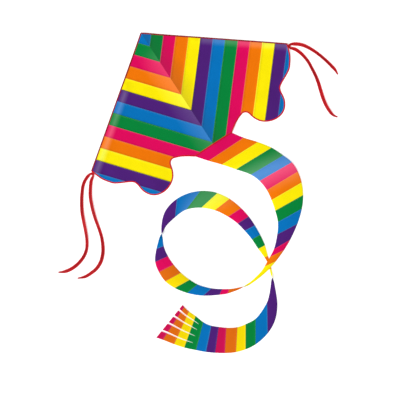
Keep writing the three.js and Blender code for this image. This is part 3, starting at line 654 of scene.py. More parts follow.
def tape_material(name, colour, dark, pitch=1.3, rough=0.5, middle=0.0):
    """Ribbed tape: U runs along it and V across it, both in metres."""
    N = Nodes(name)
    uv = N.uv()
    U, V, _ = N.xyz(uv)
    x, y = N.m("MULTIPLY", U, 1000.0), N.m("MULTIPLY", V, 1000.0)
    rib = N.m("MULTIPLY_ADD", N.m("SINE", N.m("MULTIPLY", x, 2 * math.pi / pitch)), 0.5, 0.5)
    base = N.gain(colour, rib, 0.88, 1.03)
    base = N.gain(base, N.noise(uv, 40.0, 4.0), 0.86, 1.12)
    edge = N.m("ABSOLUTE", y)
    if middle:
        # painted shade: the tape is darkened down its middle, unevenly along its length, for the shade across a
        # rolled tape
        painted_core_shade = N.m("SUBTRACT", 1.0, N.m("DIVIDE", edge, 3.9), clamp=True)
        painted_core_shade = N.m("MULTIPLY", N.m("MULTIPLY", N.m("POWER", painted_core_shade, 0.7), N.remap(N.noise(uv, 9.0, 2.0), 0.35, 0.6, 0.45, 1.0)), middle)
        base = N.mix(painted_core_shade, base, dark)
    else:
        base = N.mix(N.m("MULTIPLY", N.m("GREATER_THAN", edge, 0.85 * 5.4), 0.55), base, dark)
    r = N.m("MULTIPLY_ADD", N.noise(uv, 120.0, 2.0), 0.2, rough - 0.1)
    N.set(Base_Color=base, Roughness=r)
    N.bsdf.inputs["Specular IOR Level"].default_value = 0.14
    N.bsdf.inputs["Sheen Weight"].default_value = 0.03
    N.bsdf.inputs["Sheen Roughness"].default_value = 0.35
    h = N.m("MULTIPLY_ADD", N.noise(uv, 300.0, 2.0), 0.25, rib)
    N.bump(h, 0.5, 0.0003)
    return N.mat


def cloth_material(name, colour, cell=5.0, rough=0.5, lines=0.06, deep=0.02):
    """Plain woven cloth in object space."""
    N = Nodes(name)
    p = N.coords()
    X, Y, Z = N.xyz(p)
    x, y = N.m("MULTIPLY", X, 1000.0), N.m("MULTIPLY", N.m("ADD", Y, Z), 1000.0)
    rip = ripstop(N, x, y, cell, 0.5)
    base = N.gain(colour, rip, 1.0, 0.85)
    base = N.gain(base, N.noise(p, 35.0, 4.0), 0.85, 1.15)
    N.set(Base_Color=base, Roughness=N.m("MULTIPLY_ADD", N.noise(p, 150.0, 2.0), 0.18, rough - 0.08))
    N.bsdf.inputs["Specular IOR Level"].default_value = 0.12
    N.bsdf.inputs["Sheen Weight"].default_value = 0.03
    N.bsdf.inputs["Sheen Roughness"].default_value = 0.4
    h = N.m("MULTIPLY", rip, lines)
    h = N.m("MULTIPLY_ADD", weave(N, x, y, 1.0), deep, h)
    h = N.m("MULTIPLY_ADD", N.noise(p, 60.0, 3.0), 0.3, h)
    N.bump(h, 0.6, 0.001)
    return N.mat


def hard_material(name, colour, rough, metal=0.0, streak=(1, 1, 1), grain=400.0, bump=0.15, vary=0.12, coat=0.0):
    N = Nodes(name)
    p = N.scale(N.coords(), streak)
    n1 = N.noise(p, 60.0, 4.0)
    n2 = N.noise(p, grain, 3.0)
    base = N.gain(colour, n1, 1 - vary, 1 + vary)
    # scuffs
    scuff = N.remap(N.noise(p, 180.0, 6.0, 0.7), 0.62, 0.74, 0, 1)
    base = N.mix(N.m("MULTIPLY", scuff, 0.18), base, (0.5, 0.5, 0.5, 1))
    N.set(Base_Color=base, Roughness=N.m("MULTIPLY_ADD", n2, 0.18, rough - 0.07))
    N.bsdf.inputs["Metallic"].default_value = metal
    N.bsdf.inputs["Specular IOR Level"].default_value = 0.5
    if coat:
        N.bsdf.inputs["Coat Weight"].default_value = coat
        N.bsdf.inputs["Coat Roughness"].default_value = 0.2
    N.bump(n2, bump, 0.0004)
    return N.mat


M_SAIL = sail_material()
M_TAIL = ribbon_material()
M_BIND = tape_material("binding_tape", COLOUR["red"], srgb("8E0A12"), 1.1)
M_LEAD = tape_material("leading_tape", srgb("930B19"), srgb("52060D"), 1.1)
# the streamer tape gets painted shade down its middle
M_STREAM = tape_material("streamer_tape", srgb("D3141F"), srgb("7A060E"), 1.6, 0.42, 0.8)
M_SLEEVE = cloth_material("sleeve_cloth", srgb("2A2550"), 4.0, 0.6)
M_KEEL = cloth_material("keel_cloth", COLOUR[PINK], 5.0, 0.48)
M_WEB = cloth_material("webbing", srgb("26262C"), 1.6, 0.75, 0.16, 0.1)
M_HOOK = cloth_material("hook_cloth", srgb("2B2B31"), 1.2, 0.85, 0.3, 0.25)
M_ROD = hard_material("fibreglass_rod", srgb("232529"), 0.34, 0.0, (1, 1, 1), 500.0, 0.1, 0.15, 0.3)
M_VINYL = hard_material("vinyl", srgb("17181B"), 0.5, 0.0, (1, 1, 1), 700.0, 0.25, 0.2)
M_METAL = hard_material("eyelet_metal", srgb("C4C7CA"), 0.3, 1.0, (1, 1, 1), 350.0, 0.12, 0.08)
M_THREAD = hard_material("thread", srgb("E8DCDC"), 0.6, 0.0, (1, 1, 1), 900.0, 0.3, 0.1)
M_THREAD_RED = hard_material("thread_red", srgb("E8646A"), 0.6, 0.0, (1, 1, 1), 900.0, 0.3, 0.1)


# ------------------------------------------------------------------ stitches
def stitches(name, paths, mat, body, pitch=3.3, length=2.3, width=0.42, height=0.32):
    """Rows of raised thread stitches along paths of 3-D points, kite millimetres. Each is one closed bead."""
    verts, faces = [], []
    prof = [(-0.5, 0.25, -0.2), (-0.3, 0.5, 0.55), (0.0, 0.55, 1.0), (0.3, 0.5, 0.55), (0.5, 0.25, -0.2)]
    for path, up in paths:
        d = np.r_[0, np.cumsum(np.linalg.norm(np.diff(path, axis=0), axis=1))]
        n = int(d[-1] / pitch)
        for k in range(n):
            c = (k + 0.5) * pitch
            pts = [np.array([np.interp(c + f * length, d, path[:, i]) for i in range(3)]) for f, _, _ in prof]
            ax = pts[-1] - pts[0]
            ax /= max(1e-9, np.linalg.norm(ax))
            upv = np.array([0, 0, float(up)])
            side = np.cross(ax, upv)
            side /= max(1e-9, np.linalg.norm(side))
            b = len(verts)
            for p, (f, w, h) in zip(pts, prof):
                verts.append(p - side * width * w - upv * 0.12)
                verts.append(p + upv * (height * h))
                verts.append(p + side * width * w - upv * 0.12)
            m = len(prof)
            for i in range(m - 1):
                for j in range(3):
                    l = (j + 1) % 3
                    faces.append((b + 3 * i + j, b + 3 * i + l, b + 3 * i + 3 + l, b + 3 * i + 3 + j))
            faces.append((b, b + 1, b + 2))
            faces.append((b + 3 * m - 1, b + 3 * m - 2, b + 3 * m - 3))
    o = make(name, np.array(verts), faces, mat, 60)
    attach(o, body)
    return o


# ------------------------------------------------------------------ wings
def seam_lift(ax, y):
    """A lapped seam stands up a little on the far side of each colour change."""
    F = (-y + 1.1769 * ax) / 1.542
    t = (F - STRIPE_0) / STRIPE_W
    q = (t - np.floor(t)) * STRIPE_W
    lift = np.clip(np.minimum(q / 0.35 + 0.0, (6.6 - q) / 0.6), 0, 1)
    return np.where(t > 0, 0.32 * lift, 0.0)


def normals_in(path, sign):
    t = np.gradient(path, axis=0)
    t /= np.linalg.norm(t, axis=1)[:, None]
    return np.stack([t[:, 1] * sign, -t[:, 0] * sign], 1)


TAPE = [(4.7, 0.62), (3.9, 0.70), (-0.2, 0.72), (-1.3, 0.50), (-1.7, 0.0), (-1.3, -0.50), (-0.2, -0.70), (3.9, -0.66), (4.7, -0.58), (4.7, -0.24), (0.6, -0.24), (0.35, 0.0), (0.6, 0.24), (4.7, 0.24)]


def edge_tape(name, path, inward, replaced, mat=None, pucker=0.09):
    """Binding folded over the edge of the sail: path and inward normals in plan, kite millimetres."""
    d = np.r_[0, np.cumsum(np.linalg.norm(np.diff(path, axis=0), axis=1))]
    secs, uvs = [], []
    for i, (p, n) in enumerate(zip(path, inward)):
        base = sail_mid(p[0] + n[0] * 2.4, p[1] + n[1] * 2.4)
        out = []
        for k, (a, h) in enumerate(TAPE):
            q = p + n * a
            hh = h * (1 + pucker * math.sin(d[i] * 2 * math.pi / 6.6 + (k > 6)) * (abs(h) > 0.4))
            out.append((q[0], q[1], float(base) + hh + 0.02 * a))
            uvs.append((d[i] / 1000, (a - 2.3) / 1000))
        secs.append(out)
    v, f = sweep(secs)
    o = make(name, v, f, mat or M_BIND, 50, uv=uvs)
    at_ridge(o)
    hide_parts(replaced)
    return o


def offset_line(path, n, a, dz):
    q = path + n * a
    z = sail_mid(path[:, 0] + n[:, 0] * 2.4, path[:, 1] + n[:, 1] * 2.4) + dz
    return np.c_[q, z]


def at_ridge(o):
    """Bakes the object's placement into its mesh."""
    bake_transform(o)


def right_outline(inset):
    """Outline of the right wing, inset from its edges, nose first and anticlockwise in plan reversed."""
    le = np.array([LE_DIR * s + LE_IN * inset for s in np.linspace(3.0, 697.6, 150)])
    n = normals_in(TRAIL_FINE, 1.0)
    te = TRAIL_FINE + n * inset
    seam = np.array([(x, SEAM_Y + inset) for x in np.linspace(99, 0.08, 24)])
    spine = np.array([(0.08, y) for y in np.linspace(SEAM_Y + inset + 6, -6.0, 110)])
    return np.vstack([le, te[2:-1], seam, spine])


def wing(side):
    sg = 1.0 if side == "right" else -1.0
    body = f"{side}_wing"
    out = right_outline(1.35)
    lines = []
    g = np.array([1, -1.1769]) / 1.5444  # along a stripe, in (|x|, -y)
    f = np.array([1.1769, 1]) / 1.5444  # across it
    for n in range(0, 13):
        for off in (0.0, 0.35, 6.0, 6.6):
            F = STRIPE_0 + STRIPE_W * n + off
            c = np.arange(-900, 700, 1.5)
            pts = f[None] * F * (1.542 / 1.5444) + g[None] * c[:, None]
            pts[:, 1] *= -1
            ok = inside(out, pts) & (near_line(out, pts) > 1.2)
            start = None
            for i in range(len(pts) + 1):
                good = i < len(pts) and ok[i]
                if good and start is None:
                    start = i
                if not good and start is not None:
                    if i - start > 6:
                        seg = pts[start:i]
                        lines.append(spaced(seg, step=7.0) if len(seg) > 8 else seg[[0, -1]])
                    start = None
    flip = np.array([sg, 1.0])
    outline = out * flip
    lines = [l * flip for l in lines]
    sail = cloth_plate(
        f"sail_cloth_{side}", outline, lines, 8.0,
        lambda x, y: sail_mid(x, y) + seam_lift(np.abs(x), y), 0.34, M_SAIL,
    )
    me = sail.data
    co = np.empty(len(me.vertices) * 3, np.float32)
    me.vertices.foreach_get("co", co)
    me.attributes.new("rest", "FLOAT_VECTOR", "POINT").data.foreach_set("vector", co)
    vn = np.empty(len(me.vertices) * 3, np.float32)
    me.vertex_normals.foreach_get("vector", vn)
    me.attributes.new("face_up", "FLOAT", "POINT").data.foreach_set("value", (vn[2::3] > 0).astype(np.float32))
    at_ridge(sail)
    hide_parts(f"sail_{side}")

    # bindings
    le = np.array([LE_DIR * s for s in np.linspace(1.2, 699.2, 240)]) * flip
    le_n = np.repeat((LE_IN * flip)[None], len(le), 0)
    edge_tape(f"edge_tape_leading_{side}", le, le_n, f"leading_binding_{side}", M_LEAD)
    te = np.vstack([TRAIL_FINE, [(x, SEAM_Y) for x in np.linspace(100, 0.1, 26)]])
    te = spaced(te, step=3.3)
    nn = normals_in(te, 1.0)
    te, nn = te * flip, nn * flip
    edge_tape(f"edge_tape_trailing_{side}", te, nn, f"trailing_binding_{side}")
    rows = [
        (offset_line(le, le_n, 3.5, 0.74), 1), (offset_line(le, le_n, 3.5, -0.66), -1),
        (offset_line(te[2:], nn[2:], 3.5, 0.74), 1), (offset_line(te[2:], nn[2:], 3.5, -0.66), -1),
    ]
    stitches(f"tape_stitches_{side}", rows, M_THREAD_RED, body, pitch=3.6, width=0.36, height=0.2)

    # spar, caps, rings
    d3 = np.array([sg * LE_DIR[0], LE_DIR[1], 0])

    def on(s, z=SPAR_Z):
        p = LE_DIR * s + LE_IN * SPAR_INSET
        return np.array([sg * p[0], p[1], z])

    sC = -(SPREADER_Y - SPAR_INSET * LE_IN[1]) / math.cos(HALF)
    parts = [
        (f"spar_rod_{side}", ROD(2.0, SPAR_TO - SPAR_FROM - 4), on(SPAR_FROM + 2), d3, M_ROD, f"leading_spar_{side}", "fibreglass_rod"),
        (f"spar_cap_upper_{side}", CUP(2.6, 2.22, 1.7, 14), on(SPAR_FROM), d3, M_VINYL, f"spar_upper_cap_{side}", "vinyl"),
        (f"spar_cap_tip_{side}", CUP(2.6, 2.22, 1.7, 14), on(SPAR_TO), -d3, M_VINYL, f"spar_tip_cap_{side}", "vinyl"),
        (f"ring_upper_{side}", TUBE(3.2, 2.22, 3), on(sC - 16.6), d3, M_VINYL, f"stop_ring_upper_{side}", "vinyl"),
        (f"ring_lower_{side}", TUBE(3.2, 2.22, 3), on(sC + 13.6), d3, M_VINYL, f"stop_ring_lower_{side}", "vinyl"),
    ]
    for name, prof, a, dd, mat, node, slot in parts:
        o = lathe(name, prof, a, dd, mat)
        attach(o, body)
        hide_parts(node)
    sleeve(f"spar_sleeve_upper_{side}", on(SPAR_FROM + 15), on(sC - 21), body, f"leading_sleeve_upper_{side}")
    sleeve(f"spar_sleeve_lower_{side}", on(sC + 21), on(SPAR_TO - 23), body, f"leading_sleeve_lower_{side}")
    pocket(f"wing_tip_pocket_{side}", on(SPAR_TO + 1.6), -d3, 24, body, f"tip_pocket_{side}")

    # hook strip under the rim
    xs = np.linspace(4, 103.4, 60) * sg
    strip_under(f"hook_tape_{side}", xs, (-633.4, -621.5), -1.15, -0.45, body, f"hook_strip_{side}")

    # connector: the CAD piece with soft edges
    n = NODES[f"spreader_connector_{side}"]
    w = n.modifiers.new("weld", "WELD")
    w.merge_threshold = 2e-5
    b = n.modifiers.new("bevel", "BEVEL")
    b.width = 0.00035
    b.segments = 3
    b.limit_method = "ANGLE"
    b.angle_limit = math.radians(38)
    b.harden_normals = False
    n.data.materials.clear()
    n.data.materials.append(M_VINYL)

    knot(side, sg, body)
    for which in ("outer", "inner"):
        streamer(f"streamer_{which}_{side}", sg, body)


def hat_section(width, flange, r, t, flat_z, arc=9):
    """Section of a sleeve: a tunnel of radius r hanging below two flanges, as a closed loop of (across, up)."""
    outer, inner = [], []
    for k in range(arc + 1):
        a = math.pi + math.pi * k / arc
        outer.append((math.cos(a) * r, math.sin(a) * r))
        inner.append((math.cos(a) * (r - t), math.sin(a) * (r - t)))
    lo = [(-r - flange, flat_z - t), (-r - 0.6, flat_z - t), (-r, flat_z - t - 0.6)] + outer + [(r, flat_z - t - 0.6), (r + 0.6, flat_z - t), (r + flange, flat_z - t)]
    hi = [(r + flange, flat_z), (r - t * 0.5, flat_z), (r - t, flat_z - 0.7)] + inner[::-1] + [(-r + t, flat_z - 0.7), (-r + t * 0.5, flat_z), (-r - flange, flat_z)]
    return lo + hi


def sleeve(name, a, b, body, node, r=None, flange=6.0):
    """Cloth sleeve sewn under the sail: its tunnel holds the rod and its flanges follow the sail."""
    a, b = np.asarray(a, float), np.asarray(b, float)
    r = r or 2.95
    length = np.linalg.norm(b - a)
    d = (b - a) / length
    side = np.array([-d[1], d[0], 0])
    n = max(8, int(length / 5))
    secs, uvs = [], []
    for i in range(n + 1):
        c = a + d * (length * i / n)
        wob = 0.06 * math.sin(i * 1.7) + 0.05 * math.sin(i * 0.63)
        sec = []
        top = {}
        for x, z in hat_section(0, flange, r + wob, 0.4, 0.0):
            q = c + side * x
            if abs(x) > r - 0.45 and z >= -1.1:
                u = float(sail_mid(q[0], q[1])) - 0.36
                u = max(u, c[2] + 0.4)
                zz = u + z
            else:
                zz = c[2] + z
            sec.append((q[0], q[1], zz))
            uvs.append((length * i / n / 1000, x / 1000))
        secs.append(sec)
    v, f = sweep(secs)
    o = make(name, v, f, M_SLEEVE, 50, uv=uvs)
    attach(o, body)
    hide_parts(node)
    rows = []
    for sgn in (-1, 1):
        for off in (r + 2.0, r + 4.6):
            p = np.array([a + d * (length * i / n) + side * sgn * off for i in range(n + 1)])
            z = np.maximum(sail_mid(p[:, 0], p[:, 1]) - 0.36, a[2] + 0.4) - 0.4
            rows.append((np.c_[p[:, :2], z], -1))
    stitches(name + "_stitches", rows, M_THREAD, body, pitch=3.8, width=0.36, height=0.18)
    return o


def pocket(name, a, d, length, body, node):
    """Doubled webbing cup over the end of a rod, pressed a little flat, with a bound mouth."""
    a = np.asarray(a, float)

    def squeeze(rad, h):
        return rad * 1.0, rad * 0.97

    prof = [(0, 0), (1.6, 0.0), (2.7, 0.5), (3.12, 1.6), (3.16, length - 3.2), (3.28, length - 2.6), (3.28, length - 0.5), (3.1, length), (2.86, length - 0.2), (2.84, 2.2), (2.3, 1.4), (0, 1.25)]
    o = lathe(name, prof, a, d, M_WEB, 36, 0.3, squeeze)
    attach(o, body)
    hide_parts(node)
    return o


def strip_under(name, xs, ys, z0, z1, body, node):
    """Hook strip sewn under the rim, following the sail."""
    secs, uvs = [], []
    y0, y1 = ys
    prof = [(y0, z0 + 0.15), (y0 + 0.3, z0), (y1 - 0.3, z0), (y1, z0 + 0.15), (y1, z1), (y0, z1)]
    cols = []
    for t in np.linspace(0, 1, 13):
        cols.append((y0 + (y1 - y0) * t, z0 + 0.08 * math.sin(t * 40)))
    prof = cols + [(y1, z1), ((y0 + y1) / 2, z1), (y0, z1)]
    for i, x in enumerate(xs):
        sec = []
        for y, z in prof:
            lump = 0.12 * math.sin(i * 2.4 + y * 3.1) if z < z1 - 0.3 else 0.0
            sec.append((x, y, float(sail_under(x, y)) + z + lump * 0.5))
            uvs.append((x / 1000, y / 1000))
        secs.append(sec)
    v, f = sweep(secs)
    o = make(name, v, f, M_HOOK, 60, uv=uvs)
    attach(o, body)
    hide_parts(node)
    return o


def tube_mesh(path, section, closed=False, up=(0, 0, 1)):
    """Sections swept along 3-D points. section(i, n) gives (across, up) points."""
    p = np.asarray(path, float)
    n = len(p)
    if closed:
        t = np.roll(p, -1, 0) - np.roll(p, 1, 0)
    else:
        t = np.gradient(p, axis=0)
    t /= np.linalg.norm(t, axis=1)[:, None]
    secs = []
    upv = np.array(up, float)
    for i in range(n):
        side = np.cross(t[i], upv)
        side /= max(1e-9, np.linalg.norm(side))
        nrm = np.cross(side, t[i])
        secs.append([p[i] + side * a + nrm * b for a, b in section(i, n)])
    return np.array(secs)


def knot(side, sg, body):
    """Overhand knot tied in the two streamers at the wing tip."""
    c = np.array([sg * 559.8, -436.8, 4.1])
    pts = []
    n = 120
    for i in range(n):
        t = 2 * math.pi * i / n
        x = math.sin(t) + 2 * math.sin(2 * t)
        y = math.cos(t) - 2 * math.cos(2 * t)
        z = -math.sin(3 * t)
        pts.append(c + np.array([x * 2.5, y * 2.3, z * 1.35]))
    pts = np.array(pts)

    def section(i, n):
        w, h = 3.1, 1.45
        out = []
        for k in range(12):
            a = 2 * math.pi * k / 12
            out.append((w * math.cos(a), h * math.sin(a) * (1 + 0.12 * math.cos(5 * a))))
        return out

    secs = tube_mesh(pts, section)
    m = secs.shape[1]
    v = secs.reshape(-1, 3)
    f = [(i * m + j, i * m + (j + 1) % m, ((i + 1) % n) * m + (j + 1) % m, ((i + 1) % n) * m + j) for i in range(n) for j in range(m)]
    uv = [(i * 0.0006, (j - 6) * 0.0008) for i in range(n) for j in range(m)]
    v[:, 2] = np.maximum(v[:, 2], 0.55)
    o = make(f"tip_knot_{side}", v, f, M_STREAM, 60, uv=uv)
    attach(o, body)
    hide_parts(f"streamer_knot_{side}")
    return o


def streamer(name, sg, body):
    """Flat hemmed tape that lies loosely on the floor and rolls a little from side to side."""
    pts = np.array(STREAMERS[name], float)
    c = np.array([sg * 559.8, -436.8])
    pts = np.vstack([c + 0.35 * (pts[0] - c), pts])
    path2 = spaced(catmull(pts, 24), step=3.2)
    d = np.r_[0, np.cumsum(np.linalg.norm(np.diff(path2, axis=0), axis=1))]
    L = d[-1]
    seed = {"streamer_outer_left": 0.3, "streamer_inner_left": 2.1, "streamer_outer_right": 4.4, "streamer_inner_right": 5.2}[name]
    roll = 0.20 * np.sin(d / 62 + seed) * smooth(d / 60)
    hw = np.full(len(d), 8.1)
    hw *= 1 - 0.06 * np.sin(d / 47 + seed)
    hw *= (0.62 + 0.38 * smooth((d - 2) / 26)) * (0.40 + 0.60 * smooth((L - d) / 46) ** 0.8)
    z = 0.75 + np.abs(np.sin(roll)) * hw + 0.5 * (np.sin(d / 90 + seed) * 0.5 + 0.5)
    knot_z = smooth(1 - d / 26)
    z = z * (1 - knot_z) + 3.4 * knot_z
    path = np.c_[path2, z]

    def section(i, n):
        w = hw[i]
        a = roll[i]
        cup = 0.55
        top, bot = [], []
        for k in range(13):
            u = -1 + 2 * k / 12
            edge = max(0.0, (abs(u) - 0.72) / 0.28)
            th = 0.22 + 0.24 * min(1.0, edge * 2.2) * (1.0 if abs(u) < 0.985 else 0.35)
            y = cup * (u * u) - 0.25 + 0.05 * math.sin(6 * u)
            top.append((u * w, y + th))
            bot.append((u * w, y - th))
        loop = top + bot[::-1]
        ca, sa = math.cos(a), math.sin(a)
        return [(x * ca - y * sa, x * sa + y * ca) for x, y in loop]

    secs = tube_mesh(path, section)
    secs[:, :, 2] = np.maximum(secs[:, :, 2], 0.12)
    v, f = sweep(secs)
    m = secs.shape[1]
    acr = np.array([p[0] for p in section(0, len(d))])
    uv = np.array([(d[i] / 1000, (-5.4 + 10.8 * (k if k < 13 else 25 - k) / 12) / 1000) for i in range(len(d)) for k in range(m)])
    o = make(name + "_tape", v, f, M_STREAM, 50, uv=uv)
    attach(o, body)
    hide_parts(name)
    [float(t) for t in row(path[0])]
    [[float(t) for t in p] for p in row(path)]
    return o


wing("left")
wing("right")


# ------------------------------------------------------------------ spine
Y3 = np.array([0, 1.0, 0])
for name, prof, a, dd, mat, node, slot in [
    ("spine", ROD(2.0, SPINE_FRONT - SPINE_REAR - 4), (0, SPINE_REAR + 2, SPINE_Z), Y3, M_ROD, "spine_rod", "fibreglass_rod"),
    ("spine_cap_front", CUP(2.6, 2.22, 1.7, 14), (0, SPINE_FRONT, SPINE_Z), -Y3, M_VINYL, "spine_nose_cap", "vinyl"),
    ("spine_cap_rear", CUP(2.6, 2.22, 1.7, 14), (0, SPINE_REAR, SPINE_Z), Y3, M_VINYL, "spine_tail_cap", "vinyl"),
]:
    o = lathe(name, prof, a, dd, mat)
    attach(o, "spine")
    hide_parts(node)
pocket("front_pocket", (0, SPINE_FRONT + 1.6, SPINE_Z), -Y3, 26, "spine", "nose_pocket")
sleeve("spine_tunnel", (0, SPINE_REAR + 16, SPINE_Z), (0, SPINE_REAR + 572, SPINE_Z), "spine", "spine_sleeve", r=2.88, flange=5.5)

# ------------------------------------------------------------------ spreader
X3 = np.array([1.0, 0, 0])
for name, prof, a, dd, mat, node, slot in [
    ("spreader", ROD(1.9, 2 * (SPREADER_END - 2)), (-(SPREADER_END - 2), SPREADER_Y, SPREADER_Z), X3, M_ROD, "spreader_rod", "fibreglass_rod"),
    ("spreader_end_left", CUP(2.7, 2.12, 1.7, 22), (-SPREADER_END, SPREADER_Y, SPREADER_Z), X3, M_VINYL, "spreader_cap_left", "vinyl"),
    ("spreader_end_right", CUP(2.7, 2.12, 1.7, 22), (SPREADER_END, SPREADER_Y, SPREADER_Z), -X3, M_VINYL, "spreader_cap_right", "vinyl"),
]:
    o = lathe(name, prof, a, dd, mat)
    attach(o, "spreader")
    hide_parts(node)


# ------------------------------------------------------------------ keel
def keel_place(p):
    """Keel's own frame to kite millimetres."""
    p = np.asarray(p, float)
    c, s = math.cos(KEEL_TILT), math.sin(KEEL_TILT)
    return np.stack([p[..., 0] * c + p[..., 2] * s, p[..., 1], KEEL_Z - p[..., 0] * s + p[..., 2] * c], -1)


def polyline(points, step):
    out = []
    for a, b in zip(points, points[1:] + points[:1]):
        a, b = np.array(a, float), np.array(b, float)
        n = max(1, int(np.linalg.norm(b - a) / step))
        out += [a + (b - a) * k / n for k in range(n)]
    return np.array(out)


circle = np.array([(EYELET[0] + 5.2 * math.cos(a), EYELET[1] + 5.2 * math.sin(a)) for a in np.linspace(0, 2 * math.pi, 40, endpoint=False)])
panel_out = polyline([(-1.6, -269.5), (0.5, -271.0), (155.6, -309.2), (161.6, -316.0), (160.2, -321.6), (0.5, -597.2), (-1.6, -598.5)], 5.0)


def keel_height(x, y):
    """Flat on its hinge line, with slack waves across the panel. The root rises to the spine sleeve."""
    wave = 0.28 * np.sin(y / 21 + x / 60) * smooth((x - 12) / 40) * smooth((165 - x) / 60)
    root = 0.42 * smooth((5 - x) / 5)
    return KEEL_Z - x * math.tan(KEEL_TILT) + wave + root


keel = cloth_plate("keel_cloth", panel_out, [], 6.0, keel_height, 0.4, M_KEEL, holes=[circle], uv=True)
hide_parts("keel_panel")
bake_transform(keel)

edge_pts = [(0.5, -268.6), (156.8, -306.9), (164.4, -315.6), (163.2, -321.2), (0.5, -601.4)]
ep = []
for a, b in zip(edge_pts, edge_pts[1:]):
    a, b = np.array(a, float), np.array(b, float)
    n = max(2, int(np.linalg.norm(b - a) / 3.5))
    ep += [a + (b - a) * k / n for k in range(n)]
ep = np.array(ep + [np.array(edge_pts[-1])])
kn = normals_in(ep, 1.0)
secs, uvs = [], []
dd = np.r_[0, np.cumsum(np.linalg.norm(np.diff(ep, axis=0), axis=1))]
for i, (p, n) in enumerate(zip(ep, kn)):
    sec = []
    for a, h in TAPE:
        q = p + n * a * 0.95
        zz = float(keel_height(max(0.5, p[0] + n[0] * 3), p[1] + n[1] * 3))
        sec.append((q[0] if q[0] > 0.4 else 0.4, q[1], zz + h * (1 + 0.06 * math.sin(dd[i]))))
        uvs.append((dd[i] / 1000, (a - 2.3) / 1000))
    secs.append(sec)
v, f = sweep(secs)
o = make("keel_edge_tape", v, f, M_BIND, 50, uv=uvs)
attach(o, "keel")
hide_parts("keel_binding")

patch_out = polyline([(112, -303.5), (146, -311), (155, -317), (155, -322), (122, -372), (108, -340)], 4.0)
patch = cloth_plate("keel_reinforcement", patch_out, [], 4.0, lambda x, y: KEEL_Z - x * math.tan(KEEL_TILT) + 0.95 + 0.28 * np.sin(y / 21 + x / 60) * smooth((165 - x) / 60) * 0.4, 0.5, M_WEB, holes=[circle], keep_off=1.6)
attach(patch, "keel")
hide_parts("keel_patch")
cen = patch_out.mean(0)
ring = cen + (patch_out - cen) * 0.9
ring = np.vstack([ring, ring[:1]])
rows = [(np.c_[ring, KEEL_Z - ring[:, 0] * math.tan(KEEL_TILT) + 1.22], 1)]
stitches("keel_stitches", rows, M_THREAD, "keel", pitch=3.4, width=0.36, height=0.22)

a = keel_place([EYELET[0], EYELET[1], 0.0])
ax_dir = keel_place([EYELET[0], EYELET[1], 1.0]) - a
prof = [(3.05, -0.9), (3.5, -1.3), (6.6, -1.28), (7.15, -1.0), (6.8, -0.72), (5.0, -0.7), (5.0, 1.6), (6.8, 1.62), (7.15, 1.9), (6.6, 2.18), (3.5, 2.2), (3.05, 1.8), (3.05, -0.9)]
eye = lathe("tow_eyelet_ring", prof, a, ax_dir, M_METAL, 56, 0.3)
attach(eye, "keel")
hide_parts("keel_eyelet")


# ------------------------------------------------------------------ tail
T = np.array(TAIL, float)
O2, I2 = T[:, :2], T[:, 2:]
mid = (O2 + I2) / 2
RUN = np.r_[0, np.cumsum(np.linalg.norm(np.diff(mid, axis=0), axis=1))]


def edge_line(P):
    """Smooth line through the stations by run along the ribbon, in 2 mm steps."""
    steps = np.arange(0.0, RUN[-1] + 1.0, 2.0)
    out = []
    n = len(P)
    for s in steps:
        i = min(max(int(np.searchsorted(RUN, s, side="right")) - 1, 0), n - 2)
        x1, x2 = P[i], P[i + 1]
        x0 = P[i - 1] if i > 0 else 2 * x1 - x2
        x3 = P[i + 2] if i + 2 < n else 2 * x2 - x1
        d0, d1, d2 = (max(2.0, np.linalg.norm(b - a)) ** 0.5 for a, b in ((x0, x1), (x1, x2), (x2, x3)))
        m0 = ((x1 - x0) / d0 - (x2 - x0) / (d0 + d1) + (x2 - x1) / d1) * d1
        m1 = ((x2 - x1) / d1 - (x3 - x1) / (d1 + d2) + (x3 - x2) / d2) * d1
        t = min(1.0, (s - RUN[i]) / (RUN[i + 1] - RUN[i]))
        out.append((2 * t**3 - 3 * t**2 + 1) * x1 + (t**3 - 2 * t**2 + t) * m0 + (-2 * t**3 + 3 * t**2) * x2 + (t**3 - t**2) * m1)
    line = np.array(out)
    half = 24
    k = np.exp(-0.5 * (np.arange(-half, half + 1) * 2.0 / 16.0) ** 2)
    k /= k.sum()
    padded = np.vstack([2 * line[0] - line[half:0:-1], line, 2 * line[-1] - line[-2 : -half - 2 : -1]])
    even = np.stack([np.convolve(padded[:, c], k, mode="valid") for c in (0, 1)], 1)
    return steps, even


O_LINE, I_LINE = edge_line(O2), edge_line(I2)


def hermite(line, s):
    return np.array([np.interp(s, line[0], line[1][:, c]) for c in (0, 1)])


def at(station):
    return float(np.interp(station, np.arange(len(RUN)), RUN))


TWISTS = [(RUN[17], 44.0), (RUN[28], 40.0), (RUN[45] - 4, 34.0)]
LAY_W = 206.0
SLIT_FROM = at(57.45)
CUTS = [1 - c for c in (1, 0.783, 0.55, 0.335, 0.142, 0)]
changes = sorted(TAIL_COLOURS)
bounds_s = [RUN[k] for k in changes if k > 0]


def bump(s, c, w):
    return float(smooth(1 - abs(s - c) / w))


def roll_at(s):
    return sum(math.pi * float(smooth((s - (c - w)) / (2 * w))) for c, w in TWISTS)


rows_s = [-14.4, -9.0, -4.0]
marks = [(0.0, 0.0)]
for i in range(len(RUN) - 1):
    L = RUN[i + 1] - RUN[i]
    is_change = i in TAIL_COLOURS and i > 0
    pts = [0.0]
    if is_change:
        pts += [0.35, 3.9, 4.5]
    a0 = pts[-1]
    end = L - (0.8 if (i + 1) in TAIL_COLOURS else 0.0)
    near = min(abs(RUN[i] + L / 2 - c) for c, _ in TWISTS)
    step = 4.0 if near < 90 else 8.0
    n = max(1, int(round((end - a0) / step)))
    pts += [a0 + (end - a0) * k / n for k in range(1, n + 1)]
    if (i + 1) in TAIL_COLOURS:
        pass
    else:
        pts = pts[:-1] if len(pts) > 1 else pts
    rows_s += [RUN[i] + p for p in pts]
rows_s.append(RUN[-1])
rows_s = sorted(set(round(x, 4) for x in rows_s))
rows_s = np.array(rows_s)


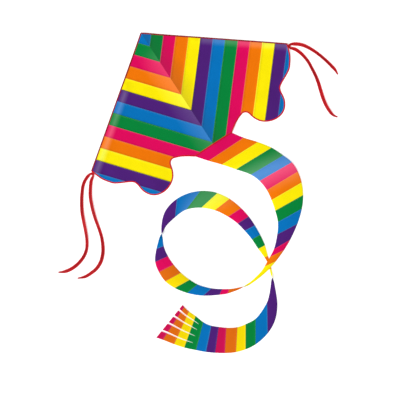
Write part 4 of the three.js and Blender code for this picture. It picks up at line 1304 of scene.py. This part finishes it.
def seam_q(s):
    """Run past the last colour change."""
    prev = [b for b in bounds_s if b <= s + 1e-6]
    return s - prev[-1] if prev else 99.0


BACK = {ORANGE: srgb("DC6A0C"), YELLOW: srgb("F4D900"), PINK: srgb("C80B50")}


def colour_of(s):
    """Colour of a panel. Some read a little deeper from their other side."""
    k = max(i for i in changes if RUN[i] <= s + 1e-6)
    c = TAIL_COLOURS[k]
    turned = s >= RUN[45] or (RUN[17] <= s < RUN[28] and c != PINK)
    return np.array((BACK.get(c, COLOUR[c]) if turned else COLOUR[c])[:3])


FOLD_N = 4
verts, uvs, painted_sheen = [], [], []
ncol = None
col_groups = None
for s in rows_s:
    sc = max(s, 0.0)
    o2, i2 = hermite(O_LINE, sc), hermite(I_LINE, sc)
    c2 = (o2 + i2) / 2
    if s < 0:
        shift = np.array([0, -s])
        o2, i2, c2 = o2 + shift, i2 + shift, c2 + shift
        o2 = np.array([103.2, o2[1]])
        i2 = np.array([-103.2, i2[1]])
    lat = o2 - i2
    w = np.linalg.norm(lat)
    e = lat / max(1e-9, w)
    rho = roll_at(sc)
    cr, sr = math.cos(rho), math.sin(rho)
    tw = max(bump(sc, c, wd * 1.0) for c, wd in TWISTS)
    w3 = max(w, 6.6)
    E3 = np.array([e[0] * cr, e[1] * cr, sr])
    nrm = np.array([-e[0] * sr, -e[1] * sr, cr])
    thick = 1 + 1.4 * float(smooth(sc / 140))
    f = min(max((LAY_W - w) / 2, 3.0), 0.94 * w3)
    f = 3.0 + (f - 3.0) * float(smooth((at(57) - sc) / 160)) * float(smooth(sc / 200))
    f = min(f, 0.94 * w3)
    f = f * (1 - tw) + min(f, 0.45 * w3) * tw
    g = cr if abs(cr) > 0.35 else (0.35 if cr > 0 else -0.35)
    dA, dB = 0.36 * thick * g, 0.72 * thick * g
    if f <= 20:
        dB = dA
    else:
        dB = dA + (dB - dA) * float(smooth((f - 20) / 20))
    # height
    over = float(smooth((sc - 655) / 75) * smooth((930 - sc) / 75))
    lift = 3.4 * over
    lift += 6.5 * bump(sc, at(5.0), 190) + 5.0 * bump(sc, at(33.2), 210) + 3.5 * bump(sc, at(22.5), 200)
    lift += 3.0 * bump(sc, at(39.5), 130) + 4.0 * bump(sc, at(52.5), 180) + 2.0 * bump(sc, at(59.4), 90)
    arch = 2.2 * float(smooth(sc / 260)) * (1 - 0.75 * float(smooth((sc - at(56)) / 120)))
    pleat = 0.75 * float(smooth((125 - w) / 90)) * (1 - 0.6 * tw)
    gap = 0.0 if sc <= SLIT_FROM else 2.4 + 6.6 * ((sc - SLIT_FROM) / (RUN[-1] - SLIT_FROM)) ** 0.9
    rr, rl = abs(dA) / 2, abs(dB) / 2
    sgn = 1.0 if g > 0 else -1.0
    sec = []  # (across, up, cloth coordinate)
    for k in range(FOLD_N):
        x = -w3 / 2 + f - (f - rr) * k / (FOLD_N - 1)
        sec.append((x, -sgn * 2 * rr, "f"))
    for ang in (-30, 30):
        a = math.radians(ang)
        sec.append((-w3 / 2 + rr - rr * math.cos(a), -sgn * (rr - rr * math.sin(a)), "c"))
    groups = []
    for k in range(5):
        u0 = CUTS[k] + (gap / 2 / w3 if k else 0)
        u1 = CUTS[k + 1] - (gap / 2 / w3 if k < 4 else 0)
        for j in range(5):
            u = u0 + (u1 - u0) * j / 4
            x = -w3 / 2 + rr + (w3 - rr - rl) * u
            sec.append((x, 0.0, f"s{k}"))
    for ang in (30, -30):
        a = math.radians(ang)
        sec.append((w3 / 2 - rl + rl * math.cos(a), -sgn * (rl - rl * math.sin(a)), "c"))
    for k in range(FOLD_N):
        x = w3 / 2 - rl - (f - rl) * k / (FOLD_N - 1)
        sec.append((x, -sgn * 2 * rl, "f"))
    if ncol is None:
        ncol = len(sec)
        col_groups = [q[2] for q in sec]
    # top layer above the floor
    q = seam_q(s)
    seam_up = 0.26 * float(np.clip(min(q / 0.35, (4.5 - q) / 0.6), 0, 1)) if s >= 0 else 0.0
    zc = max(thick - 0.18, abs(sr) * w3 / 2 + 0.55)
    clothx = 0.0
    prev = None
    for k, (x, up, tag) in enumerate(sec):
        un = (x / w3 + 0.5)
        cross = max(0.0, 1 - (2 * un - 1) ** 2)
        rip = pleat * (0.5 - 0.5 * math.cos(2 * math.pi * 3 * un)) * (0.6 + 0.4 * math.sin(sc / 37)) * cross ** 0.5
        nn = up + (rip if abs(cr) > 0.2 else 0.0) * (1 if cr > 0 else -1) * abs(cr)
        px = c2[0] + E3[0] * x + nrm[0] * nn
        py = c2[1] + E3[1] * x + nrm[1] * nn
        pz = E3[2] * x + nrm[2] * nn
        if s < 0:
            base = float(sail_under(min(104, abs(px)), py)) - 2.5
        else:
            base = (float(sail_under(min(104, abs(px)), SEAM_Y)) - 2.5) * (1 - float(smooth(sc / 95)))
        ripple = 0.5 * math.sin(sc / 29 + un * 2.1) * float(smooth(sc / 160)) * 0.5 * cross
        pz += base + zc + lift * (0.55 + 0.45 * cross) + arch * cross * float(smooth((w - 20) / 60)) + ripple + 0.5 * cross * 0 + (seam_up if tag.startswith("s") else 0.0)
        if prev is not None:
            clothx += math.hypot(x - prev[0], up - prev[1])
        prev = (x, up)
        verts.append((px, py, max(pz, 0.25)))
        uvs.append((clothx / 1000, s / 1000))
        # painted highlights: two soft pale patches on the ribbon, for the sheen where it catches the light
        sheen1 = 0.11 * bump(sc, at(4.8) - 8 + 30 * (un - 0.5), 120)
        sheen2 = 0.07 * bump(sc, at(34.3) + 20 * (un - 0.5), 150)
        painted_sheen.append(max(sheen1, sheen2))
verts, uvs, painted_sheen = np.array(verts), np.array(uvs), np.array(painted_sheen)
nrow = len(rows_s)
faces, face_rows = [], []
for i in range(nrow - 1):
    for j in range(ncol - 1):
        a, b = col_groups[j], col_groups[j + 1]
        if a.startswith("s") and b.startswith("s") and a != b:
            continue
        faces.append((i * ncol + j, i * ncol + j + 1, (i + 1) * ncol + j + 1, (i + 1) * ncol + j))
        face_rows.append(i)
me = bpy.data.meshes.new("tail")
me.from_pydata([tuple(p) for p in row(verts)], [], faces)
layer = me.uv_layers.new(name="cloth")
idx = np.zeros(len(me.loops), np.int32)
me.loops.foreach_get("vertex_index", idx)
layer.data.foreach_set("uv", uvs[idx].astype(np.float32).ravel())
col = me.color_attributes.new("Col", "FLOAT_COLOR", "CORNER")
loop_face = np.repeat(np.arange(len(faces)), 4)
row_colour = np.array([colour_of(max(0.0, rows_s[i])) for i in range(nrow - 1)])
cc = row_colour[np.array(face_rows)[loop_face]]
# the painted highlight lifts the colour towards white
wt = painted_sheen[idx][:, None]
cc = np.minimum(cc * (1 + 1.6 * wt) + 0.85 * wt, 0.96)
data = np.c_[cc, np.ones(len(cc))].astype(np.float32)
col.data.foreach_set("color", data.ravel())
sq = me.attributes.new("seam", "FLOAT", "CORNER")
q0 = np.array([min(60.0, seam_q(max(0.0, rows_s[i]))) for i in range(nrow)])
qq = q0[np.array(face_rows)[loop_face]] + np.where(idx // ncol > np.array(face_rows)[loop_face], np.diff(rows_s)[np.array(face_rows)[loop_face]], 0)
sq.data.foreach_set("value", qq.astype(np.float32))
bm = bmesh.new()
bm.from_mesh(me)
bmesh.ops.remove_doubles(bm, verts=bm.verts, dist=2e-6)
bmesh.ops.recalc_face_normals(bm, faces=bm.faces)
bm.to_mesh(me)
bm.free()
tail = finish_mesh("tail_ribbon", me, M_TAIL, None)
mod = tail.modifiers.new("thickness", "SOLIDIFY")
mod.thickness = 0.0003
mod.offset = 0
dg = bpy.context.evaluated_depsgraph_get()
done = bpy.data.meshes.new_from_object(tail.evaluated_get(dg))
tail.modifiers.clear()
tail.data = done
done.polygons.foreach_set("use_smooth", [True] * len(done.polygons))
done.set_sharp_from_angle(angle=math.radians(50))
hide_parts("tail_header", *[f"tail_run_{k}" for k in range(1, 11)], *[f"fringe_strip_{k}" for k in range(1, 6)])
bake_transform(tail)

# ------------------------------------------------------------------ floor and light
floor_me = bpy.data.meshes.new("floor")
floor_me.from_pydata([(-9, -9, -0.0002), (9, -9, -0.0002), (9, 9, -0.0002), (-9, 9, -0.0002)], [], [(0, 1, 2, 3)])
floor = bpy.data.objects.new("floor", floor_me)
bpy.context.scene.collection.objects.link(floor)
fm = Nodes("floor")
fm.bsdf.inputs["Base Color"].default_value = (0.985, 0.985, 0.985, 1)
fm.bsdf.inputs["Roughness"].default_value = 0.9
fm.bsdf.inputs["Specular IOR Level"].default_value = 0.0
fm.bsdf.inputs["Emission Color"].default_value = (1, 1, 1, 1)
fm.bsdf.inputs["Emission Strength"].default_value = 0.3
tr = fm.nt.nodes.new("ShaderNodeBsdfTransparent")
geo = fm.nt.nodes.new("ShaderNodeNewGeometry")
mx = fm.nt.nodes.new("ShaderNodeMixShader")
fm.nt.links.new(geo.outputs["Backfacing"], mx.inputs[0])
fm.nt.links.new(fm.bsdf.outputs[0], mx.inputs[1])
fm.nt.links.new(tr.outputs[0], mx.inputs[2])
fm.nt.links.new(mx.outputs[0], fm.out.inputs[0])
floor_me.materials.append(fm.mat)
floor.visible_diffuse = False
floor.visible_shadow = False


def sun(name, towards, strength, angle, colour=(1, 1, 1)):
    l = bpy.data.lights.new(name, "SUN")
    l.energy = strength
    l.angle = math.radians(angle)
    l.color = colour
    o = bpy.data.objects.new(name, l)
    bpy.context.scene.collection.objects.link(o)
    o.rotation_mode = "QUATERNION"
    o.rotation_quaternion = Vector(towards).to_track_quat("-Z", "Y")
    return o


# key from the left of the kite and low enough to model the ridge; a soft one from above for the rest
sun("key", (0.80, -0.14, -0.62), 2.35, 24)
sun("top", (-0.12, 0.10, -1.0), 0.55, 60)
sun("under", (0.10, 0.15, 1.0), 1.2, 60)
world = bpy.data.worlds.new("studio")
bpy.context.scene.world = world
world.use_nodes = True
bg = world.node_tree.nodes.get("Background")
bg.inputs[0].default_value = (1, 1, 1, 1)
bg.inputs[1].default_value = 0.42
bpy.context.scene.view_settings.view_transform = "Standard"
